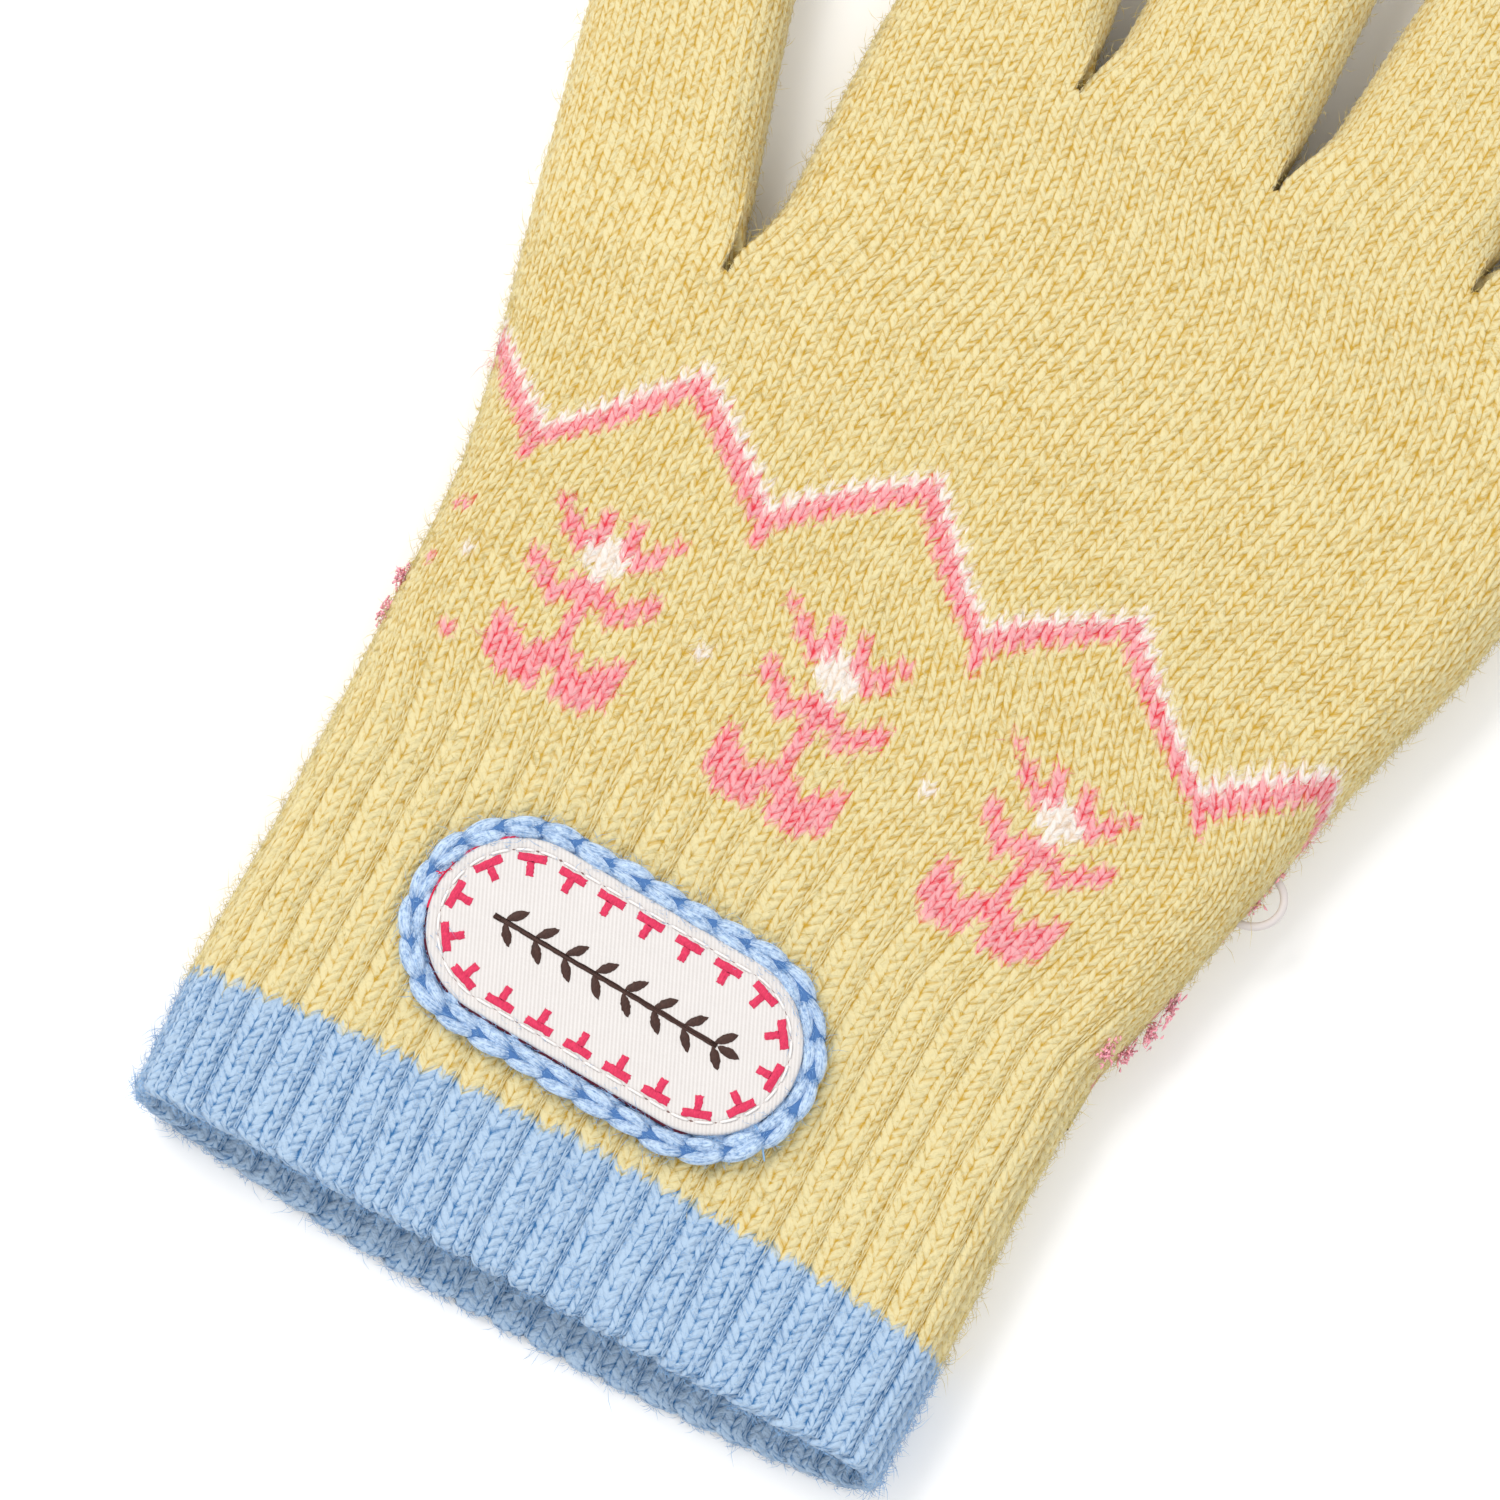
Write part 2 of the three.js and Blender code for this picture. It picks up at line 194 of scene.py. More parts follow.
class Finish:
    """A material under construction, with its constants already on the shader's own sockets."""

    def __init__(self, name, constants):
        self.material = bpy.data.materials.new(name)
        self.material.use_nodes = True
        self.tree = self.material.node_tree
        self.shader = self.tree.nodes["Principled BSDF"]
        for socket, value in constants.items():
            self.shader.inputs[socket].default_value = value

    def node(self, kind, settings, values):
        """One node: its type, its settings, then each socket's value or link, by identifier."""
        made = self.tree.nodes.new(kind)
        for setting, value in settings.items():
            setattr(made, setting, value)
        entries = {entry.identifier: entry for entry in made.inputs}
        for name, value in values.items():
            if isinstance(value, Reading):
                self.tree.links.new(value.socket, entries[name])
            else:
                entries[name].default_value = value
        return {exit.identifier: Reading(exit) for exit in made.outputs}

    def attribute(self, name):
        """What the mesh stores under that name: its colour and its number."""
        return self.node("ShaderNodeAttribute", {"attribute_name": name}, {})

    def mixed(self, share, first, second, blend="MIX"):
        """A colour between the first and the second."""
        made = self.node("ShaderNodeMix", {"data_type": "RGBA", "blend_type": blend},
                         {"Factor_Float": share, "A_Color": first, "B_Color": second})
        return made["Result_Color"]

    def place(self, *cells):
        """The place on the object, with so many cells to a metre along x, y and z, or along all."""
        metres = self.node("ShaderNodeTexCoord", {}, {})["Object"]
        made = self.node("ShaderNodeVectorMath", {"operation": "MULTIPLY"},
                         {"Vector": metres, "Vector_001": cells if len(cells) == 3 else cells * 3})
        return made["Vector"]

    def noise(self, vector, detail=2.0, roughness=0.5):
        """Smooth noise of cell 1 in the vector's own units."""
        made = self.node("ShaderNodeTexNoise", {},
                         {"Vector": vector, "Scale": 1.0, "Detail": detail,
                          "Roughness": roughness})
        return made["Fac"]

    def clamped(self, value):
        """The value, held between 0 and 1."""
        return self.node("ShaderNodeClamp", {}, {"Value": value})["Result"]

    def vector(self, x, y, z=0.0):
        """Three numbers as one vector."""
        return self.node("ShaderNodeCombineXYZ", {}, {"X": x, "Y": y, "Z": z})["Vector"]

    def parts(self, vector):
        """The three numbers of a vector."""
        made = self.node("ShaderNodeSeparateXYZ", {}, {"Vector": vector})
        return made["X"], made["Y"], made["Z"]

    def bumped(self, height, strength, distance):
        """A normal that follows a height, where 1 stands for the distance in metres."""
        made = self.node("ShaderNodeBump", {}, {"Strength": strength, "Distance": distance,
                                                "Height": height})
        return made["Normal"]

    def feed(self, socket, reading):
        """Links a reading to one socket of the shader."""
        self.tree.links.new(reading.socket, self.shader.inputs[socket])


def linear(red, green, blue):
    """A screen colour of 0 to 255 as light: ((c + 0.055) / 1.055) to the power 2.4, with c the
    share of 255, and c / 12.92 where it is very dark."""
    share = np.array([red, green, blue]) / 255
    light = np.where(share <= 0.04045, share / 12.92, ((share + 0.055) / 1.055) ** 2.4)
    return tuple(float(value) for value in light)


table_finish = Finish("table_white", {"Base Color": (0.93, 0.93, 0.93, 1), "Roughness": 0.6,
                                      "Specular IOR Level": 0.2})
table_mesh.materials.append(table_finish.material)
print("shader tools ready")

# %% [markdown]
# Plain knit is rows of small V shapes. Each V is one stitch, and its two legs are two short
# pieces of yarn that rise from the middle of a column of stitches, a wale, to its two edges. Here
# a place in the knit is two numbers: u counts wales across and v counts rows, or courses, up.
# A leg is a straight line that climbs a bit more than one course over half a wale, so a grid
# whose rows follow that zigzag has one clean ridge for each leg.

# %% How the courses lie
WALL = 2.3
RIM_Y = WALL / 2               # where the flat knit starts, inside the rounded rim
LAST_COURSE = 220              # well beyond every fingertip
COURSE_TABLE = np.array([      # course, its height over the cuff's rim in mm
    (0, RIM_Y), (12, 14.0), (34, 41.0), (43, 52.0), (73, 90.7), (76, 94.2), (LAST_COURSE, 259.8),
])
BAND_COURSES = 12
WRIST_COURSES = 34
MOTIF_COURSES = 60
THUMB_COURSE = 81              # where the thumb leaves the hand
KNUCKLE_COURSE = 108           # and where the fingers do
ARCH_DROP = 4.5                # the courses hang that much lower 40 mm from the middle
ARCH_REACH = 40.0
ARCH_MIDDLE = 2.0
ARCH_GROWS, ARCH_FADES = (50, 86), (100, 126)  # heights in mm, as in every pair of this kind
BOW_RISE = 1.0                 # the courses at the band's top bow up by that in the middle
BOW_DROP = 2.0                 # and reach lower by that 40 mm beside it
BOW_GROWS, BOW_FADES = (0, 14), (14, 40)
RIGHT_DROP = 2.3               # the flowers' and the zigzag's courses hang lower on the right
RIGHT_GROWS, RIGHT_FADES = (30, 50), (92, 118)
RIGHT_ACROSS = (-15, 28)       # where they go down, from the middle to the right


def smooth(low, high, value):
    """A soft step: with t the share of the way from low to high, 3 t squared - 2 t cubed."""
    share = np.clip((value - low) / (high - low), 0, 1)
    return share * share * (3 - 2 * share)


def swell(height, grows, fades):
    """Grows softly from 0 to 1 over the first span of heights and goes back over the second."""
    return smooth(*grows, height) * (1 - smooth(*fades, height))


def between(share, first, second):
    """First times (1 - share) plus second times share."""
    return first * (1 - share) + second * share


def course_height(v):
    """Height of a course over the rim, read from the table by straight lines."""
    return np.interp(v, COURSE_TABLE[:, 0], COURSE_TABLE[:, 1])


def arch(height):
    """How far the courses sag at the sides: none in the wrist and at the knuckles."""
    return ARCH_DROP * swell(height, ARCH_GROWS, ARCH_FADES)


def bow(height, q):
    """How far the cuff's courses bow up: the rise less the drop times q squared, at the band."""
    return swell(height, BOW_GROWS, BOW_FADES) * (BOW_RISE - BOW_DROP * q * q)


def hang(height, x):
    """How far the courses hang on the right: a soft step across, between the ribs and the palm."""
    near = swell(height, RIGHT_GROWS, RIGHT_FADES)
    return RIGHT_DROP * near * smooth(*RIGHT_ACROSS, x)


print("courses to the knuckles", KNUCKLE_COURSE, "at", course_height(KNUCKLE_COURSE).round(1))

# %% [markdown]
# The wales aren't all equally wide. Over the wrist they draw in to ribs: two wales stand up, one
# wide and one narrow, and the third sinks between them. In the flowers they are even but for the
# folds, and where the hand widens towards the thumb and the knuckles, extra wales open there.

# %% How the wales lie
SIDE_WALES = 70                # wales on one side of the hand, the other side has as many
RING_WALES = 2 * SIDE_WALES
RIB_WALES = np.array([2.35, 1.30, 0.40])      # widths of one rib's three wales
RIB_PERIOD = RIB_WALES.sum()
RIB_FIRST = 1                  # the first wale of the first rib
NO_WALE = 0.02                 # the wales at the folds that the ribs have no room for
RIBS = 22
EDGE_NARROWER = 0.35           # the outermost ribs are narrower by that share,
EDGE_RIBS = 1.2                # which falls to about a third over so many ribs
from_left = np.arange(RIBS)
rib_widths = (1 - EDGE_NARROWER * np.exp(-from_left / EDGE_RIBS)
              - EDGE_NARROWER * np.exp((from_left - RIBS + 1) / EDGE_RIBS))
WRIST_WALES = np.concatenate([[NO_WALE], np.outer(rib_widths, RIB_WALES).ravel(), [NO_WALE] * 3])
FLOWER_WALES = np.repeat([0.28, 1.30, 1.57, 1.30, 0.25], [4, 6, 48, 6, 6])
PALM_WALES = np.repeat([1.42, 1.583, 1.72, 1.2], [10, 48, 8, 4])
THUMB_LEAN = 0.012             # over the zigzag the wales lean to the thumb, share of breadth,
PALM_LEAN = 0.034              # and over the palm towards the little finger
THUMB_LEAN_GROWS, THUMB_LEAN_FADES = (62, 74), (78, 90)
PALM_LEAN_GROWS, ALL_LEAN_FADES = (80, 135), (116, 131)
TO_FLOWERS, TO_PALM = (41, 58), (64, 84)       # where one set of wales gives way to the next


def wale_share(u, widths):
    """Share of a side's breadth left of u: the widths up to u over all the widths."""
    edges = np.concatenate([[0], np.cumsum(widths)]) / widths.sum()
    return np.interp(u, np.arange(len(edges)), edges)


def leaned(share, height):
    """The share with the wales' two leans: a half wave of each, gone above the palm."""
    grown = PALM_LEAN * smooth(*PALM_LEAN_GROWS, height)
    grown = grown - THUMB_LEAN * swell(height, THUMB_LEAN_GROWS, THUMB_LEAN_FADES)
    return share + np.sin(math.pi * share) * grown * (1 - smooth(*ALL_LEAN_FADES, height))


def side_share(u, height):
    """The wrist's, the flowers' and the palm's shares, each giving way to the next upwards."""
    flowers = wale_share(u, FLOWER_WALES)
    low = between(smooth(*TO_FLOWERS, height), wale_share(u, WRIST_WALES), flowers)
    return leaned(between(smooth(*TO_PALM, height), low, wale_share(u, PALM_WALES)), height)


print("wales round the hand", RING_WALES)

# %% [markdown]
# Across, the hand is a flattened tube: two flat layers joined by two round folds. The same
# section serves wrist, palm and fingers. Its sizes come from a short table of rows, and the
# lower layer slips a little out of the cuff.

# %% The hand below the fingers
HAND_ROWS = np.array([         # height, left, right, thickness, crown
    (0, -41.4, 41.7, 10.4, 0), (14, -42.2, 41.7, 10.6, 0), (30, -41.9, 41.5, 10.6, 0),
    (45, -42.0, 41.9, 10.6, 0), (60, -42.3, 46.0, 11.3, 0.4), (75, -42.7, 49.5, 12.0, 0.8),
    (88, -37.0, 52.8, 12.4, 1.0), (97, -28.4, 55.7, 12.4, 1.0), (104, -26.6, 57.2, 12.2, 0.9),
    (116, -26.8, 58.9, 11.9, 0.6), (126, -27.0, 59.8, 11.5, 0.3), (131, -27.0, 60.0, 11.0, 0),
])
THUMB_SIDE = np.array([        # height, left edge with the thumb's root
    (60, -42.3), (70, -42.7), (80, -44.6), (96, -48.9), (104, -51.0), (116, -54.2),
])
LAYER_DROP = 1.5               # how far the lower layer reaches out of the cuff at its sides,
LAYER_SAG = 2.6                # how much further in the middle
LAYER_DROP_END = 60.0
ROOT_FLATTER = 0.09            # the thumb's root lies flatter by that share
ROOT_HEIGHTS, ROOT_ACROSS = (68, 92), (-43, -26)
SAG_ROUNDS = 3                 # the sag depends on the place it moves, so it is found in rounds


def section(f, left, right, thick, crown, inset):
    """A point of a flattened tube.

    f runs from the left fold over the top to the right fold and back underneath. The straight
    part is the breadth less the thickness, and the folds are half circles of the thickness less
    the inset. A crown lifts the top by its height times (1 - the share of the half breadth
    squared).
    """
    f = f % 1.0
    radius = thick / 2 - inset
    straight = (right - left) / 2 - thick / 2
    reach = straight + math.pi * radius / 2
    top = f < 0.5
    q = np.where(top, 4 * f - 1, 3 - 4 * f) * reach
    bend = np.maximum(np.abs(q) - straight, 0) / radius
    x = np.sign(q) * (np.minimum(np.abs(q), straight) + radius * np.sin(bend))
    rise = radius * np.cos(bend)
    share = x / (straight + radius)
    z = thick / 2 + np.where(top, rise + crown * (1 - share * share), -rise)
    return (left + right) / 2 + x, z


def hand_section(f, v, inset, with_thumb):
    """A point of the hand at course v: its section, sagged by the arch and the layer's drop."""
    level = course_height(v)
    height = level
    for _ in range(SAG_ROUNDS):
        left, right, thick, crown = (np.interp(height, HAND_ROWS[:, 0], sizes)
                                     for sizes in HAND_ROWS[:, 1:].T)
        if with_thumb:
            low = np.interp(height, THUMB_SIDE[:, 0], THUMB_SIDE[:, 1])
            left = np.where(height > THUMB_SIDE[0, 0], low, left)
        x, z = section(f(height), left, right, thick, crown, inset)
        q = (x - ARCH_MIDDLE) / ARCH_REACH
        height = level - arch(level) * q * q + bow(level, q) - hang(level, x)
    if with_thumb:
        at_root = smooth(*ROOT_HEIGHTS, height) * (1 - smooth(*ROOT_ACROSS, x))
        z = z * (1 - ROOT_FLATTER * at_root)
    under = 1 - smooth(0, thick, z)
    drop = LAYER_DROP + LAYER_SAG * np.maximum(1 - q * q, 0)
    y = height - drop * under * (1 - smooth(0, LAYER_DROP_END, height))
    return np.stack([x, y, z], axis=-1)


def lower_hand(u, v, r, inset):
    """Wrist and palm up to the thumb's crotch: the front has u from 0 to 70, the back the rest.

    Every place takes u, v, the row's own course r and an inset. Only the branches use r.
    """
    u = u % RING_WALES
    front = u <= SIDE_WALES
    mirrored = np.where(front, u, RING_WALES - u)

    def share(height):
        part = side_share(mirrored, height) / 2
        return np.where(front, part, 1 - part)

    return hand_section(share, v, inset, True)


ROLL_COURSES = 3               # courses that go round the rim


def cuff(u, v, r, inset):
    """The cuff carried round its rim.

    Above 0 it is the outside. From 0 to -3 it turns by half a circle of the wall's thickness,
    and below that it is the inner side on its way up again.
    """
    bend = np.clip(-v / ROLL_COURSES, 0, 1) * math.pi
    level = np.where(v > 0, v, np.maximum(-v - ROLL_COURSES, 0))
    deep = np.maximum(inset, WALL / 2 * (1 - np.cos(bend)))
    point = lower_hand(u, level, r, deep)
    point[..., 1] -= WALL / 2 * np.sin(bend)
    return point


print("section rows", len(HAND_ROWS))

# %% [markdown]
# A tube that splits is still one knit: at the thumb's crotch the ring of wales parts into two
# rings, and a few new wales bridge the gap between front and back. So each branch starts as
# exactly the surface it grows from, and turns over nine courses into its own tube.

# %% Branches
UPPER_FIRST = 16               # wales of the front that go to the thumb
BRIDGE = 4                     # new wales in each crotch
TURN_COURSES = 9
UPPER_SIDE = SIDE_WALES - UPPER_FIRST + BRIDGE // 2
FINGER_EDGES = (0, 15, 29, 43, UPPER_SIDE)     # the wales between which the fingers begin,
FINGER_SHARES = (0, 0.262, 0.500, 0.738, 1)    # and the shares of the breadth they get there
TO_FINGERS = (104, 128)


def branch(parent, ring, first, last, bridge_left, bridge_right, start, own):
    """Number of wales and the place of a branch.

    Its ring takes the parent's front wales first to last, a bridge, the same wales of the back
    and the other bridge. A bridge runs straight from front to back. The place is the parent's
    times (1 - w) plus its own times w, where w steps softly from 0 to 1 over the turn.
    """
    span = last - first
    lead = bridge_left / 2
    wales = 2 * span + bridge_left + bridge_right
    front_end = lead + span
    back_start = front_end + bridge_right
    back_end = wales - lead

    def place(s, v, r, inset):
        s = s % wales
        on_front = (s >= lead) & (s <= front_end)
        on_back = (s >= back_start) & (s <= back_end)
        right = (s > front_end) & (s < back_start)
        near = np.where(on_front, first + s - lead, np.where(right, last, first))
        near = np.where(on_back, ring - last + s - back_start, near)
        far = np.where(right, ring - last, ring - first)
        far = np.where(on_front | on_back, near, far)
        across = np.where(right, (s - front_end) / max(bridge_right, 1), 0.0)
        across = np.where(s < lead, 0.5 - 0.5 * s / max(lead, 1), across)
        across = np.where(s > back_end, 1 - 0.5 * (s - back_end) / max(lead, 1), across)
        across = across[..., None]
        grown = between(across, parent(near, v, r, inset), parent(far, v, r, inset))
        w = smooth(start, start + TURN_COURSES, r)[..., None]
        return between(w, grown, own(s, v, inset))

    return wales, place


def palm_own(s, v, inset):
    """The palm above the thumb: even wales at first, and at the knuckles each finger's share."""
    side = UPPER_SIDE
    s = s % (2 * side)
    front = s <= side
    mirrored = np.where(front, s, 2 * side - s)

    def share(height):
        knuckles = np.interp(mirrored, FINGER_EDGES, FINGER_SHARES)
        part = leaned(between(smooth(*TO_FINGERS, height), mirrored / side, knuckles), height) / 2
        return np.where(front, part, 1 - part)

    return hand_section(share, v, inset, False)


UPPER_RING, upper_hand = branch(lower_hand, RING_WALES, UPPER_FIRST, SIDE_WALES, BRIDGE, 0,
                                THUMB_COURSE, palm_own)
print("wales round the upper palm", UPPER_RING)

# %% [markdown]
# A finger is a narrower tube that leans out a little and closes in a round tip, where the wales
# draw together. The thumb is the same thing from its own crotch.

# %% Fingers and thumb
KNUCKLE_Y = 131.0
FINGER_SIZES = {               # root middle x, lean in degrees, root and tip breadth, length
    "index": (-15.9, -5.0, 22.0, 18.6, 66), "middle": (6.3, -0.6, 22.0, 18.8, 75),
    "ring": (28.5, 4.2, 22.0, 18.2, 69), "little": (49.8, 9.2, 20.0, 16.4, 54),
}
THUMB_SIZES = (-38.3, -15, 22.2, 19.4, 52)
THUMB_Y = 99.0
ROOT_THICK = 11.0
TIP_THICK = 9.6
TIP_LIFT = 0.4                 # share of the tip's thinning that is underneath
TIP_LEFT_OPEN = 0.97           # the last ring stops just short of the very tip


def raised(flat, height):
    """Flat points with a height as their third number."""
    return np.concatenate([flat, np.broadcast_to(height, (*flat.shape[:-1], 1))], axis=-1)


def tube(sizes, root_y, start_height, wales):
    """The own surface of a finger and its length in mm along the knit.

    Along the finger the breadth and thickness shrink evenly. In the round tip a distance t past
    its start lies at R sin(t / R), and the breadth shrinks by cos(t / R).
    """
    root_x, lean, root_breadth, tip_breadth, length = sizes
    tilt = math.radians(lean)
    run = np.array([math.sin(tilt), math.cos(tilt)])
    cross = np.array([math.cos(tilt), -math.sin(tilt)])
    tip_radius = tip_breadth / 2

    def own(s, v, inset):
        end = length - inset
        t = course_height(v) - start_height
        past = np.clip((t - (end - tip_radius)) / tip_radius, 0, TIP_LEFT_OPEN * math.pi / 2)
        y = np.where(past > 0, end - tip_radius + tip_radius * np.sin(past), t)
        shrink = np.cos(past)
        along = np.clip(y / length, 0, 1)
        breadth = (between(along, root_breadth, tip_breadth) - 2 * inset) * shrink
        full = between(along, ROOT_THICK, TIP_THICK) - 2 * inset
        thick = np.minimum(full * np.sqrt(shrink), breadth)
        x, z = section(s / wales, -breadth / 2, breadth / 2, thick, 0.0, 0.0)
        z = z + inset + TIP_LIFT * (full - thick)
        flat = np.array([root_x, root_y]) + x[..., None] * cross + y[..., None] * run
        return raised(flat, z[..., None])

    return own, length - tip_radius + TIP_LEFT_OPEN * math.pi / 2 * tip_radius


def finger_branch(parent, ring, sizes, root_y, first, last, left, right, start):
    """A finger's wales, its place and its last course."""
    wales = 2 * (last - first) + left + right
    start_height = course_height(start + 1)
    own, run_length = tube(sizes, root_y, start_height, wales)
    count, place = branch(parent, ring, first, last, left, right, start, own)
    courses = np.arange(start, LAST_COURSE)
    last_course = int(courses[course_height(courses) < start_height + run_length][-1])
    return count, place, last_course


FINGER_WALES = {               # front wales of the upper palm, and the two bridges
    "index": (*FINGER_EDGES[0:2], 0, BRIDGE), "middle": (*FINGER_EDGES[1:3], BRIDGE, BRIDGE),
    "ring": (*FINGER_EDGES[2:4], BRIDGE, BRIDGE), "little": (*FINGER_EDGES[3:5], BRIDGE, 0),
}
digits = {
    name: finger_branch(upper_hand, UPPER_RING, FINGER_SIZES[name], KNUCKLE_Y, *wales,
                        KNUCKLE_COURSE)
    for name, wales in FINGER_WALES.items()
}
digits["thumb"] = finger_branch(lower_hand, RING_WALES, THUMB_SIZES, THUMB_Y, 0, UPPER_FIRST,
                                0, BRIDGE, THUMB_COURSE)
print("digits:", {name: (digit[0], digit[2]) for name, digit in digits.items()})

# %% [markdown]
# No hand-washed knit is as even as a grid. Each leg sits a little off its place, and the wales
# wander slowly. The shifts are random numbers on a lattice in space, eased between its corners, so
# two pieces that meet are shifted alike, whatever their own grids are.

# %% Unevenness
LATTICE = 24
WALE_WANDER = ((0.06, 0.8, 11), (0.13, 6.0, 12))       # size, cell in mm and seed of each part
COURSE_WANDER = ((0.12, 0.9, 13), (0.20, 7.0, 14))


def soft_noise(points, cell, seed):
    """Random numbers from -1 to 1 on a lattice of that cell, eased between its corners."""
    values = np.random.default_rng(seed).random((LATTICE,) * 3) * 2 - 1
    scaled = points / cell
    base = np.floor(scaled).astype(int)
    part = scaled - base
    ease = part * part * (3 - 2 * part)
    total = np.zeros(points.shape[:-1])
    for corner in np.ndindex(2, 2, 2):
        spot = (base + corner) % LATTICE
        weight = np.prod(np.where(corner, ease, 1 - ease), axis=-1)
        total += weight * values[spot[..., 0], spot[..., 1], spot[..., 2]]
    return total


def layered_noise(points, parts):
    """The sum of several soft noises, each with its size, its cell and its seed."""
    return sum(size * soft_noise(points, cell, seed) for size, cell, seed in parts)


def wander(points):
    """Shift of a place in wales and in courses: a quick part for each leg and a slow part."""
    return layered_noise(points, WALE_WANDER), layered_noise(points, COURSE_WANDER)


print("lattice", LATTICE)

# %% [markdown]
# The surface is now known, and the stitches are its relief. Each leg is a short rounded piece of
# yarn: its middle stands up, and both its ends dive at the edge and at the middle of the wale, so
# the deepest lines run up along the wales. The line between a leg and the next one up is nearly
# as deep. All of it is pushed inwards from the skin, so the glove keeps its size.

# %% Relief of the stitches
CHEVRON = 0.95                 # courses by which a wale's edges stand over the row's own level
LEG_CLIMB = 0.85               # courses that a leg climbs from the wale's middle to its edge,
WIDE_CLIMB = 1.15              # and in the wide wale of a rib
RIB_COURSES = (30, 46)         # courses over which the wide wales' own climb ends
TIP_COURSES = (7, 1)           # courses before a tip's end over which its zigzag fades
LEG_DEPTH = 0.20               # from the top of a leg to the line beside it
ROW_LINE = 0.80                # depth of the line between a leg and the next one up, as its share
WALE_ROUND = 0.11              # how much lower a wale's edges lie than its middle, in mm
RIB_SINK = 0.55                # how deep the third wale of a rib lies
PAIR_SINK = 0.16               # and the small valley between its two raised wales
RIB_SINK_AT = 3.85             # its middle, in mm across the rib
PAIR_SINK_AT = 2.35
RIB_SINK_HALF, PAIR_SINK_HALF = 0.62, 0.38     # and how far each valley reaches from its middle
RIB_FADE = (43, 56)
BAND_SINK, WRIST_SINK = 1.1, 0.75              # the band's ribs are deeper than the wrist's
BAND_TO_WRIST = (9, 20)
RIB_PAINTED_LIGHT = 0.8                 # painted light: the ribs are painted paler by that share of their valleys' painted shade
UNDULATION = 0.35              # depth of the slow waves in the cloth, in mm
CLOTH_WAVES = ((1.0, 13.0, 5), (0.6, 5.0, 6))  # size, cell and seed
WAVE_SHARE = 0.31              # small enough for the waves never to rise over the skin


def climb(s, r, ribbed, end, closed):
    """Courses by which a row rises at s over its own level.

    It is CHEVRON at a wale's edges and falls evenly by the climb to the wale's middle. The climb
    is larger in a rib's wide wale, and in a finger's tip all of the rise fades out.
    """
    tent = np.abs(2 * (s % 1.0) - 1)
    wide = (np.floor(s - RIB_FIRST) % 3 == 0) * (s < SIDE_WALES)
    rib = LEG_CLIMB + (WIDE_CLIMB - LEG_CLIMB) * wide
    amount = between(smooth(*RIB_COURSES, r), rib, LEG_CLIMB) if ribbed else LEG_CLIMB
    rise = CHEVRON - amount * (1 - tent)
    if closed:
        rise = rise * (1 - smooth(end - TIP_COURSES[0], end - TIP_COURSES[1], r))
    return rise


def rib_sink(u, height):
    """Depth of the rib's valleys: a deep bell at the third wale and a shallow one at the pair."""
    within = (u - RIB_FIRST) % 3
    across = np.interp(within, [0, 1, 2, 3], [0, *np.cumsum(RIB_WALES)])
    gap = (across - RIB_SINK_AT + RIB_PERIOD / 2) % RIB_PERIOD - RIB_PERIOD / 2
    pair = across - PAIR_SINK_AT
    bells = (RIB_SINK * np.exp(-((gap / RIB_SINK_HALF) ** 2))
             + PAIR_SINK * np.exp(-((pair / PAIR_SINK_HALF) ** 2)))
    deeper = BAND_SINK - (BAND_SINK - WRIST_SINK) * smooth(*BAND_TO_WRIST, height)
    return bells * (1 - smooth(*RIB_FADE, height)) * deeper


def leg_relief(s, r, plump):
    """Height of the yarn: (1 - along to the power 4) times (1 - the row line times across
    squared), where along and across run from -1 to 1 over the leg's length and breadth."""
    along = 2 * np.abs(2 * (s % 1.0) - 1) - 1
    across = 2 * (r % 1.0) - 1
    return plump * (1 - along ** 4) * (1 - ROW_LINE * across * across)


print("leg depth", LEG_DEPTH, "rib depth", RIB_SINK)

# %% [markdown]
# The colours are knitted in, one stitch at a time, so the pattern is a chart of stitches, as on
# a knitter's squared paper: a small flower of nine wales, repeated every sixteen, and a zigzag
# that peaks over each flower. Colours are given as light, from 0 to 1.

# %% Yarns and the chart
YELLOW, PINK, WHITE, BLUE = range(4)
YARNS = np.array([(0.63, 0.515, 0.197), (0.72, 0.19, 0.26), (0.73, 0.67, 0.65),
                  (0.245, 0.425, 0.68)])
FLOWER = [
    "P..P.P..P", ".P.P.P.P.", ".PPPWPPP.", "..PWWWP..", "...WWW...", "P...W...P", "PP.PPP.PP",
    ".PPPPPPP.", "..P.P.P..", "....P....", "....P....", "P...P...P", "PP.PPP.PP", "PPPPPPPPP",
    "PPPP.PPPP", ".PPP.PPP.",
]
FLOWER_TOP = 58
FLOWER_MIDDLES = (17, 33, 49)
ZIGZAG_PEAKS = (1, 17, 33, 49, 65)
ZIGZAG_TOP = 72
ZIGZAG_HALF = 8
STRAY_STITCHES = [             # wale, course, yarn: where a carried thread shows through
    (25, 51, WHITE), (41, 51, WHITE), (9, 51, WHITE), (6, 55, PINK), (7, 55, PINK), (6, 49, PINK),
    (10, 44, PINK), (67, 55, PINK), (68, 56, PINK), (66, 45, PINK), (67, 45, PINK),
    (66, 39, PINK), (67, 38, PINK), (53, 66, PINK),
]


